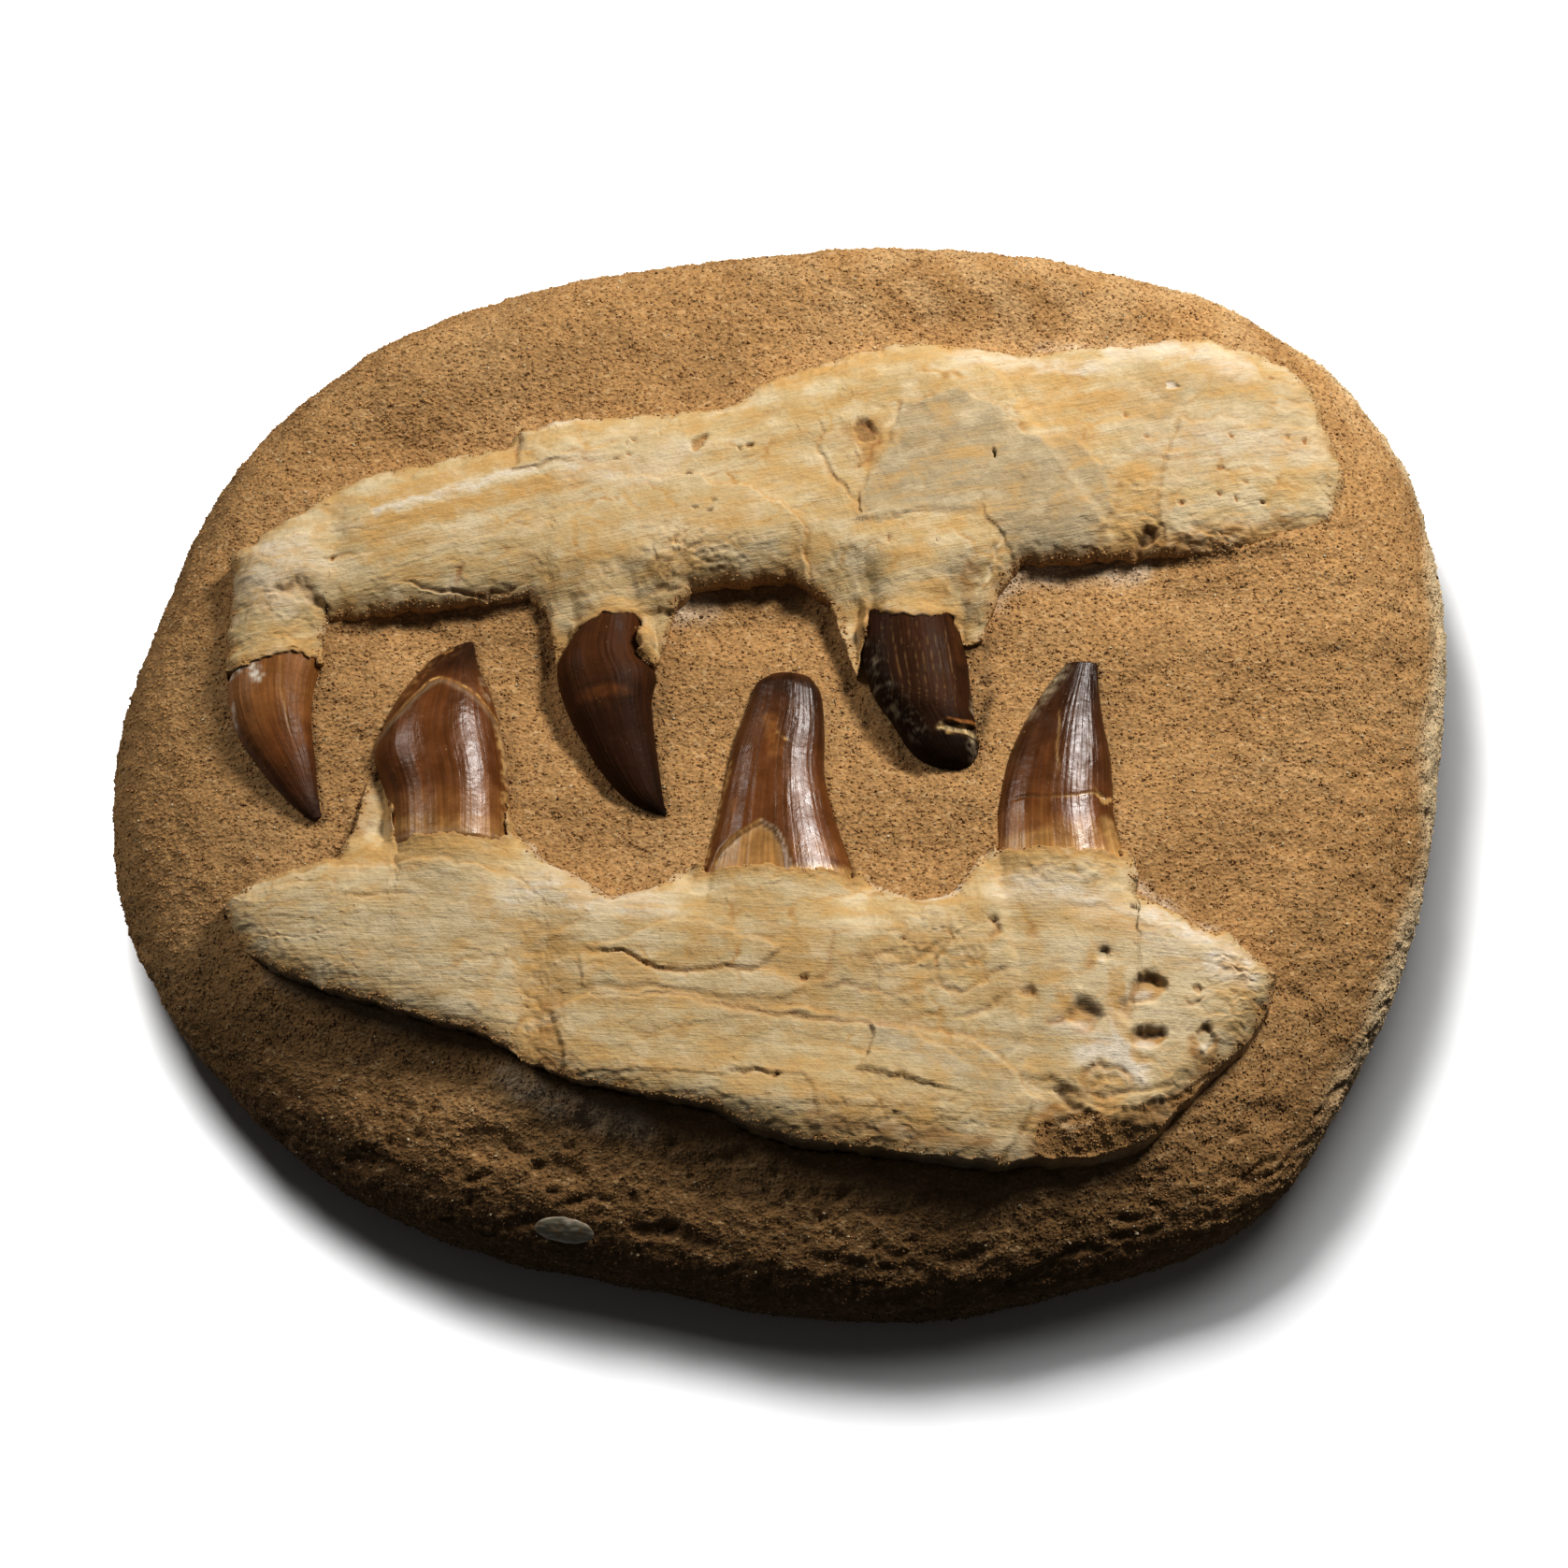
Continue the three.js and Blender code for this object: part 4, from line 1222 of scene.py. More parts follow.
@dataclass
class Tooth:
    """A crown: sections between its two edges in plan, from the base to the tip.

    Each edge runs from the base, which bulges back under the bone and lies at base_height. Thickness is
    the sections' height over their width, and tones are its colours at shares of its length. Tip and root
    are the sections past its ends, as (step onwards, size).
    """

    name: str
    node: str
    slot: str
    left: Points
    right: Points
    bulge: float
    base_height: float
    thickness: float
    tones: Sequence[tuple[float, Tone]]
    finish: EnamelFinish
    details: Details
    seed: int
    slab: Slab
    rows: int = 150
    top_columns: int = 92
    under_columns: int = 20
    ridge: float = 0.05
    tip_steps: Sequence[float] = (0.3, 0.55, 0.75, 0.9, 0.97, 0.995)
    root_steps: Sequence[tuple[float, float]] = ((1.0, 0.97), (1.8, 0.85), (2.1, 0.5), (2.2, 0.1))

    def sections(self, along: Array, turn: Array) -> tuple[Array, Array, Array]:
        """Points on the plain crown: an ellipse at each share of its length, bulged at the base.

        Args:
            along: shares of the length, from 0 at the base to 1 at the tip.
            turn: angles around, 0 at the right edge, above 0 over the top.

        Returns:
            Positions by share and angle, their outward normals, and the half width at each share.
        """
        start, end = spline(self.left, along), spline(self.right, along)
        middle, half = (start + end) / 2.0, (end - start) / 2.0
        width = np.hypot(half[:, 0], half[:, 1])
        back = np.stack([-half[:, 1], half[:, 0]], 1) / width[:, None]
        away = np.array(self.left[0]) - np.array(self.left[-1])
        back = back * np.where(back @ away < 0.0, -1.0, 1.0)[:, None]
        tip = (np.array(self.left[-1]) + np.array(self.right[-1])) / 2.0
        tip_height = float(self.slab.height(tip[:1], tip[1:])[0]) + 0.6
        axis = self.base_height + (tip_height - self.base_height) * along
        swell = self.swell(along, width) * self.thickness
        cos, sin = np.cos(turn), np.sin(turn)
        push = self.bulge * (1.0 - along) ** 3
        plan = middle[:, None] + half[:, None] * cos[None, :, None]
        plan = plan + back[:, None] * (push[:, None] * (1.0 - cos**2))[..., None]
        height = axis[:, None] + swell[:, None] * sin
        side = half / width[:, None]
        lean = np.stack([cos * self.thickness, sin], 1)
        lean = lean / np.linalg.norm(lean, axis=1, keepdims=True)
        upwards = np.broadcast_to(lean[None, :, 1:], (len(along), len(turn), 1))
        normal = np.concatenate([side[:, None] * lean[None, :, :1], upwards], -1)
        return np.concatenate([plan, height[..., None]], -1), normal, width

    def swell(self, along: Array, width: Array) -> Array:
        """Half width evened out along the crown, which its height follows, and the true one at the tip.

        Args:
            along: shares of the length.
            width: the true half widths there.

        Returns:
            The evened half widths.
        """
        shares = np.linspace(0.0, 1.0, 41)
        across = spline(self.right, shares) - spline(self.left, shares)
        halves = np.hypot(across[:, 0], across[:, 1]) / 2.0
        weights = np.exp(-(((along[:, None] - shares[None]) / 0.16) ** 2))
        even = (weights * halves).sum(1) / weights.sum(1)
        return even + (width - even) * smooth(0.6, 1.0, along)

    @property
    def outline(self) -> Points:
        """Plan of the crown: the left edge to the tip, the right edge back, and the base.

        Returns:
            Its corners.
        """
        along = np.linspace(0.0, 1.0, 14)
        left, right = spline(self.left, along), spline(self.right, along)
        base = self.sections(np.zeros(1), np.linspace(0.0, math.pi, 9)[1:-1])[0][0, :, :2]
        return [tuple(point) for point in np.concatenate([left, right[::-1], base])]

    def socket(self, x: Array, y: Array, rise: Array) -> Array:
        """Height of the bone once it meets the crown's surface behind its base and lies lower beside it.

        Args:
            x, y: coordinates of the points.
            rise: height of the bone at them.

        Returns:
            The new heights.
        """
        start, end = np.array(self.left[0]), np.array(self.right[0])
        middle, half = (start + end) / 2.0, (end - start) / 2.0
        width = float(np.hypot(*half))
        back = np.array([-half[1], half[0]]) / width
        if back @ (start - np.array(self.left[-1])) < 0.0:
            back = -back
        across = ((x - middle[0]) * half[0] + (y - middle[1]) * half[1]) / width**2
        arch = np.sqrt(np.maximum(1.0 - across**2, 0.0))
        behind = (x - middle[0]) * back[0] + (y - middle[1]) * back[1] - self.bulge * arch**2
        top = float(self.swell(np.zeros(1), np.array([width]))[0]) * self.thickness
        held = np.clip(across, -1.0, 1.0)
        level = self.base_height + 0.4 + top * np.maximum(np.sqrt(1.0 - held**2), 0.5)
        distance = np.hypot(np.maximum(behind, 0.0), width * (across - held))
        near = smooth(15.0, 0.0, distance) * smooth(-6.0, -2.0, behind)
        rise = rise + (level - rise) * near
        away = np.maximum(-depth_inside(x, y, self.outline), 0.0)
        limit = self.base_height + 0.7 + 0.35 * away
        beside = smooth(0.95, 1.15, np.abs(across)) * smooth(4.0, -4.0, behind)
        return rise - np.maximum(rise - limit, 0.0) * beside

    def build(self) -> None:
        """Builds the crown, closed by a small cap under the bone and rounded at the tip."""
        noise = Noise(self.seed)
        over = np.linspace(0.0, math.pi, self.top_columns, endpoint=False)
        under = np.linspace(math.pi, 2.0 * math.pi, self.under_columns, endpoint=False)
        turn = np.concatenate([over, under])
        along = np.linspace(0.0, 1.0, self.rows) ** 0.95
        places, normals, width = self.sections(along, turn)
        x, y = places[..., 0].ravel(), places[..., 1].ravel()
        share = np.repeat(along, len(turn))
        angle = np.tile(turn, len(along))
        side = np.cos(angle)
        lines = noise.at(side * 15.0, share * 2.2) + 0.7 * noise.at(side * 34.0, share * 3.0)
        plain = self.ridge * lines + 0.12 * noise.at(x / 6.0, y / 8.0) + 0.03 * noise.at(x / 1.1, y / 1.1)
        stops = [stop for stop, _ in self.tones]
        palette = np.array([tone.value for _, tone in self.tones])
        shade = share + 0.07 * noise.at(x / 5.0, y / 5.0) + 0.04 * noise.at(side * 9.0, share * 2.0)
        stain = np.stack([np.interp(shade, stops, channel) for channel in palette.T], -1)
        rise, colour = self.details.apply(x, y, plain, stain, noise)
        upper = smooth(-0.1, 0.25, np.sin(angle))
        rise = plain + (rise - plain) * upper
        colour = stain + (colour - stain) * upper[:, None]
        fade = smooth(0.0, 1.6, np.repeat(width, len(turn)))
        rows = places + (normals.reshape(-1, 3) * (rise * fade)[:, None]).reshape(places.shape)
        spread = np.stack([angle / (2.0 * math.pi), share], -1)
        rows = self.closed(rows)
        faces = tube_faces(*rows.shape[:2])
        if self.runs_backwards(rows):
            faces = [face[::-1] for face in faces]
        piece = make_piece(
            self.name, rows.reshape(-1, 3), faces, self.finish.material(),
            self.stretched(colour), spread=self.stretched(spread),
        )
        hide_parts(self.node)

    def stretched(self, values: Array) -> Array:
        """Values of the sections, with those of the first and last repeated for the closing ones."""
        count, ends = values.shape[1], ((len(self.root_steps), len(self.tip_steps)), (0, 0), (0, 0))
        return np.pad(values.reshape(self.rows, -1, count), ends, "edge").reshape(-1, count)

    def past(self, end: Array, beside: Array, steps: Sequence[tuple[float, float]]) -> list[Array]:
        """Sections moved on past an end and shrunk about its middle.

        Args:
            end: the last section.
            beside: a section further in, which gives the way on.
            steps: how far on each section lies, and its size.

        Returns:
            The sections, in order from the end.
        """
        middle = end.mean(0)
        way = middle - beside.mean(0)
        way = way / np.linalg.norm(way)
        return [middle + (end - middle) * size + way * step for step, size in steps]

    def closed(self, rows: Array) -> Array:
        """Adds shrinking sections past both ends: a few under the bone, and a rounded tip.

        Args:
            rows: the crown's sections, from the base on.

        Returns:
            All sections.
        """
        breadth = float(np.linalg.norm(rows[-1, 0, :2] - rows[-1, self.top_columns, :2])) / 2.0
        rounded = [(0.15 * breadth * step, math.sqrt(1.0 - step * step)) for step in self.tip_steps]
        tip = self.past(rows[-1], rows[-6], rounded)
        root = self.past(rows[0], rows[6], self.root_steps)
        return np.concatenate([np.array(root[::-1]), rows, np.array(tip)])

    def runs_backwards(self, rows: Array) -> bool:
        """Tells whether the quads as laid out would face inwards.

        Args:
            rows: the crown's sections.

        Returns:
            Whether they would.
        """
        middle = rows.mean(1, keepdims=True)
        here, beside, onward = rows[:-1, :-1], rows[:-1, 1:], rows[1:, :-1]
        normal = np.cross(beside - here, onward - here)
        return float((normal * (here - middle[:-1])).sum()) < 0.0


@dataclass
class Shell:
    """The grey shell fragment in the front slope: a bowed chip with a raised left tip."""

    name: str = "shell_chip"
    x: float = -47.5
    y: float = -112.5
    sink: float = 0.3
    length: float = 13.0
    breadth: float = 6.0
    thickness: float = 2.4
    turn: float = -0.15
    tilt: float = 0.75
    seed: int = 71
    rings: int = 40
    sides: int = 64

    def build(self, slab: Slab) -> None:
        """Builds the chip as a bowed lens, closed at its two poles.

        Args:
            slab: what it lies in.
        """
        noise = Noise(self.seed)
        level = np.linspace(0.03, math.pi - 0.03, self.rings)[:, None]
        around = np.linspace(0.0, 2.0 * math.pi, self.sides, endpoint=False)[None]
        x = 0.5 * self.length * np.sin(level) * np.cos(around)
        y = 0.5 * self.breadth * np.sin(level) * np.sin(around)
        z = 0.5 * self.thickness * np.cos(level) * np.ones_like(around)
        z = z * 0.7 + 0.016 * x**2 - 0.35 + 0.12 * noise.at(x / 1.5, y / 1.2)
        y = y + 0.25 * noise.at(x / 2.0, np.full_like(x, 3.0))
        cos, sin = math.cos(self.tilt), math.sin(self.tilt)
        y, z = y * cos - z * sin, y * sin + z * cos
        cos, sin = math.cos(self.turn), math.sin(self.turn)
        x, y = x * cos - y * sin, x * sin + y * cos
        centre = float(slab.height(np.array([self.x]), np.array([self.y]))[0]) - self.sink
        places = np.stack([x + self.x, y + self.y, z + centre], -1).reshape(-1, 3)
        faces = [face[::-1] for face in tube_faces(self.rings, self.sides)]
        bands = smooth(0.1, 0.8, noise.at(places[:, 0] / 2.5, places[:, 1] / 0.8))
        colour = np.tile(np.array(Tone.SHELL_GREY.value), (len(places), 1))
        colour = blend(colour, Tone.CHALK, 0.5 * bands)
        piece = make_piece(self.name, places, faces, ShellFinish().material(), colour)
        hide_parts("shell_fragment")


@dataclass
class Grains:
    """Sand grains strewn over a surface: small eight-sided stones, each turned its own way.

    None of them reaches past the limits along x and y, which lie just inside the solids' box.
    """

    name: str
    count: int
    smallest: float
    largest: float
    seed: int
    sink: float = 0.1
    pale: float = 0.03
    dark: float = 0.012
    lowest: float = 0.05
    x_limits: tuple[float, float] = (-151.7, 151.9)
    y_limits: tuple[float, float] = (-128.1, 128.0)

    def build(self, places: Array, quads: Array, weight: Array, colours: Array, material: Material) -> None:
        """Strews the grains over quads in proportion to their area and weight.

        Args:
            places: vertex positions of the surface.
            quads: its quads.
            weight: how many grains each vertex draws, as a share.
            colours: the surface's colour at each vertex, which the grains vary about.
            material: the finish of the grains.
        """
        rng = np.random.default_rng(self.seed)
        corners = places[quads]
        normal = np.cross(corners[:, 2] - corners[:, 0], corners[:, 3] - corners[:, 1])
        area = np.linalg.norm(normal, axis=1)
        chance = area * weight[quads].mean(1)
        picked = rng.choice(len(quads), self.count, p=chance / chance.sum())
        u, v = rng.random((2, self.count, 1))
        low = corners[picked, 0] * (1 - u) + corners[picked, 1] * u
        high = corners[picked, 3] * (1 - u) + corners[picked, 2] * u
        size = self.smallest + (self.largest - self.smallest) * rng.random((self.count, 1)) ** 2.2
        outwards = normal[picked] / np.maximum(area[picked, None], 1e-12)
        centre = low * (1 - v) + high * v + outwards * size * self.sink
        spin = np.linalg.qr(rng.normal(size=(self.count, 3, 3)))[0]
        axes = np.concatenate([np.eye(3), -np.eye(3)])[None]
        stones = axes * (size * rng.uniform(0.7, 1.2, (self.count, 3)))[:, None]
        stones = stones * rng.uniform(0.8, 1.15, (self.count, 6, 1))
        corners = centre[:, None] + stones @ spin
        corners[..., 2] = np.maximum(corners[..., 2], self.lowest)
        corners[..., 0] = np.clip(corners[..., 0], *self.x_limits)
        corners[..., 1] = np.clip(corners[..., 1], *self.y_limits)
        tone = colours[quads[picked]].mean(1) * (0.80 + 0.45 * rng.random((self.count, 1)))
        pale, dark = rng.random(self.count) < self.pale, rng.random(self.count) < self.dark
        tone[pale] = np.array(Tone.PALE.value) * rng.uniform(0.7, 1.1, (pale.sum(), 1))
        tone[dark] = np.array(Tone.SAND_DARK.value) * rng.uniform(0.4, 1.0, (dark.sum(), 1))
        faces = np.array([
            (0, 1, 2), (1, 3, 2), (3, 4, 2), (4, 0, 2), (1, 0, 5), (3, 1, 5), (4, 3, 5), (0, 4, 5),
        ])
        numbers = faces[None] + (np.arange(self.count) * 6)[:, None, None]
        mirrored = np.linalg.det(spin) < 0.0
        numbers = np.where(mirrored[:, None, None], numbers[..., ::-1], numbers)
        make_piece(
            self.name, corners.reshape(-1, 3), numbers.reshape(-1, 3).tolist(), material,
            np.repeat(tone, 6, 0), flat=True,
        )


def upper_bone() -> Bone:
    """The run of bone at the back, with three sockets on its front side.

    Returns:
        The bone, with its steps, cracks, holes and stains as the fossil shows them.
    """
    pale, greyed, ochre, tan, rust = Tone.PALE, Tone.GREYED, Tone.OCHRE, Tone.TAN, Tone.RUST
    chalk, ash, grime_and_shade, sand_dark = Tone.CHALK, Tone.ASH, Tone.GRIME_AND_SHADE, Tone.SAND_DARK
    front = [
        (-124, 12), (-103, 14), (-102, 25), (-87.5, 27), (-57, 30), (-53, 26), (-50.5, 14.5), (-29, 13),
        (-26.5, 18), (-24, 27), (-21, 32), (2.5, 34.5), (11, 28.5), (16, 11), (18, 20), (42, 19), (44.5, 20),
        (48.5, 32), (53.5, 38.5), (86.5, 41), (103.5, 42), (118.5, 46.5), (124, 50), (127, 60),
    ]
    back = [
        (-124, 41), (-113.5, 49.5), (-108, 52), (-105, 56), (-92.5, 61), (-62, 67.5), (-60.5, 70.5),
        (-50, 74), (-14.5, 77), (-2, 85), (19.5, 92.5), (30.5, 94.5), (53.5, 91), (71, 93.5), (97.5, 96),
        (107, 93), (115.5, 88.5), (120.5, 84), (125, 70), (127, 62),
    ]
    sheet = [
        (16, 46), (19.5, 48), (31, 49), (45, 49), (48.5, 44), (51, 40), (55.5, 36), (69.5, 34), (72.5, 40.5),
        (71, 43.5), (72, 48), (75, 49.5), (73.5, 54), (73.5, 61), (70.5, 61), (69, 64.5), (65.5, 69),
        (57.5, 68.5), (54, 69), (53, 71.5), (50, 72.5), (49.5, 75.5), (40, 80), (27, 76), (24, 66), (18, 55),
    ]
    flap = [
        (-60, 58), (-20, 57), (-4.5, 52.5), (2.5, 48), (4.5, 43.5), (5, 38), (6, 26), (-60, 26),
    ]
    patches = (
        Patch(chalk, [(-122, 30), (-118, 44), (-106, 44), (-102, 36), (-112, 24)], 4.0, 0.55, True),
        Patch(ochre, [(-93, 45.5), (-76, 49.5), (-57, 55), (-48, 57)], 4.2, 0.95, broken=0.35),
        Patch(ochre, [(-91, 52.5), (-76, 57.5), (-58, 64)], 3.8, 0.9, broken=0.35),
        Patch(pale, [(-91, 49.2), (-74, 54), (-57, 59.5), (-47, 61)], 2.6, 1.0, broken=0.2),
        Patch(chalk, [(-91, 49.6), (-74, 54.4), (-57, 59.9)], 1.3, 0.7, broken=0.2),
        Patch(ochre, [(-90, 41), (-72, 43), (-56, 47)], 2.5, 0.4),
        Patch(chalk, [(-54, 72.5), (-46.5, 74.5)], 2.2, 0.9),
        Patch(chalk, [(-47, 60), (-30, 58), (-24, 64)], 6.0, 0.4),
        Patch(ochre, [(-40, 38), (-15, 45), (0, 58)], 6.0, 0.45),
        Patch(tan, [(15, 68), (20, 70), (19, 63)], 4.0, 0.55),
        Patch(ash, sheet, 2.0, 0.75, True, 0.25),
        Patch(ochre, [(-20, 75.5), (-2, 83), (18, 90.5)], 3.0, 0.75),
        Patch(ochre, [(0.5, 82), (18, 88), (40, 92)], 4.0, 0.6),
        Patch(chalk, [(40, 89), (56, 87), (72, 86)], 3.2, 0.6),
        Patch(ochre, [(54, 84), (68, 78), (90, 74)], 3.8, 0.75),
        Patch(ochre, [(54, 75), (80, 80), (96, 84.5), (118, 83.5)], 3.4, 0.7),
        Patch(chalk, [(76, 91), (90, 92), (104, 86)], 5.0, 0.7),
        Patch(ash, [(78, 58), (122, 62), (121, 84), (78, 90)], 8.0, 0.45, True, 0.3),
        Patch(chalk, [(84, 66), (105, 68), (118, 66)], 7.0, 0.35),
        Patch(ochre, [(76, 61), (85, 60), (85, 49), (76, 49)], 2.0, 0.8, True),
        Patch(tan, [(74, 41), (95, 44.5), (113, 48)], 3.0, 0.7),
        Patch(tan, [(41, 30), (42, 36)], 3.0, 0.6),
        Patch(ochre, [(-119, 49), (-108, 54), (-92, 62)], 4.0, 0.6),
    )
    plates = (
        Plate(sheet, 0.6, 0.3, None, 0.3),
        Plate(flap, 1.3, 0.35, (-44.0, -12.0), 0.5),
        Plate([(85.5, 40), (84.5, 52), (86, 63), (90, 72), (127, 72), (127, 40)], 0.55, 0.4, (126.0, 88.0)),
        Plate([(-60.5, 60), (-59.8, 66), (-60.5, 72), (-30, 78), (-20, 66)], 0.6, 0.35, (-36.0, -56.0)),
    )
    marks = (
        Mark([(-108.5, 38), (-100, 38.5), (-92, 40)], 0.35, 0.35),
        Mark([(-96, 49), (-99.5, 41), (-101, 39)], 0.4, 0.2, ochre, 0.7),
        Mark([(-86, 32.5), (-78, 31), (-67.5, 30), (-61.5, 31), (-56, 33)], 0.45, 0.6, rust, 0.5),
        Mark([(-71.5, 36.5), (-74, 32)], 0.5, 0.3, rust, 0.8),
        Mark([(-114, 29.5), (-108, 31), (-102, 27)], 1.8, 1.5, tan, 0.4),
        Mark([(-60, 69), (-60.5, 62)], 0.5, 0.5, rust, 0.7),
        Mark([(-31, 29.5), (-22.5, 31.5)], 0.5, 0.6),
        Mark([(8, 72.5), (8.5, 64), (10.5, 58.5), (14, 54), (18, 50)], 0.5, 0.5, tan, 0.6),
        Mark([(16, 72.5), (21, 69), (21, 66), (19.5, 62), (16, 59.5)], 0.55, 0.5, rust, 0.6),
        Mark([(24.5, 73), (26.5, 68.5), (26, 62)], 0.4, 0.25, greyed, 0.5),
        Mark([(42, 59), (46.5, 59.5)], 0.35, 0.3),
        Mark([(43.5, 29), (46, 36.5), (49, 43.5)], 0.6, 0.35, pale, 0.8),
        Mark([(73, 64), (84, 62.5), (98, 63)], 0.4, 0.25),
        Mark([(79, 39), (81, 46)], 1.2, 1.4, grime_and_shade, 0.5),
    )
    holes = (
        (-33.5, 67, 0.6, 0.5, 0.7, 0, rust), (-36, 66, 0.5, 0.5, 0.6, 0, rust),
        (-35, 62.5, 0.8, 0.5, 0.7, 0, rust), (-38, 62, 0.5, 0.5, 0.6), (-19, 66, 1.1, 3.2, 1.2, -0.7, tan),
        (-7.5, 65.5, 0.9, 0.6, 0.7), (-10, 64.5, 0.6, 0.6, 0.6), (-21.5, 57.5, 0.9, 0.5, 0.7),
        (-20, 49, 0.8, 0.6, 0.9), (-16.5, 50.5, 0.7, 0.6, 0.9), (-17, 48, 0.6, 0.6, 0.8),
        (47, 63.5, 0.4, 1.3, 1.3), (18, 69, 2.4, 3.4, 0.9, 0.3, sand_dark),
        (88, 81.5, 1.6, 1.4, 0.5, 0, chalk), (98.5, 60, 1.0, 0.6, 0.7, 0.6, rust),
        (98, 54, 0.7, 0.6, 0.7, 0, rust), (102, 53, 0.6, 0.8, 0.7, 0, rust),
        (107.5, 52, 0.9, 0.5, 0.7, 0, rust), (89, 52, 0.9, 0.5, 0.7, 0, rust),
        (103.5, 57, 0.7, 0.4, 0.5, 0, rust), (101.5, 68.5, 0.8, 0.4, 0.5, 0, rust),
        (82, 68, 0.7, 0.4, 0.5, 0, rust), (77.5, 74, 0.9, 0.5, 0.5, 0, rust),
        (118, 68, 0.5, 0.8, 0.6, 0, rust), (114.5, 69, 0.5, 0.6, 0.6, 0, rust),
        (111, 84.5, 0.8, 0.5, 0.5, 0, rust), (81.5, 44.5, 2.0, 2.4, 1.6, 0.2, sand_dark),
        (-101, 38.6, 0.6, 0.5, 0.6, 0, rust), (23.5, 41.5, 0.5, 0.5, 0.5, 0, rust),
        (34, 41, 0.6, 0.5, 0.6, 0, rust),
    )
    pits = tuple(Pit(*hole) for hole in holes)
    lumps = (
        (-113, 32, 12, 16, 1.6), (-101, 45, 4, 16, -1.4), (31, 40, 18, 12, 1.2), (-12, 47, 16, 9, 1.6),
        (-39, 40, 16, 12, 1.2), (95, 66, 24, 18, 1.2), (62, 80, 14, 10, -1.2),
    )
    crumbs = (
        (-113, 24, 12, 10, 0.5), (-20, 42, 13, 8, 0.95), (-36, 31, 12, 6, 0.6), (18, 67, 4, 6, 0.7),
        (81, 55, 6, 7, 0.6), (92, 44, 24, 5, 0.9), (33, 32, 15, 10, 0.3), (47, 38, 5, 9, 0.5),
    )
    return Bone(
        "upper_bone", "upper_jaw_bone", front, back, 45.0, 46.5, 6.0, 3.5, lumps,
        ((50, 82), (76, 40), 1.0), crumbs, Details(marks, plates, pits, patches), 0.2, 21, under=tan,
    )


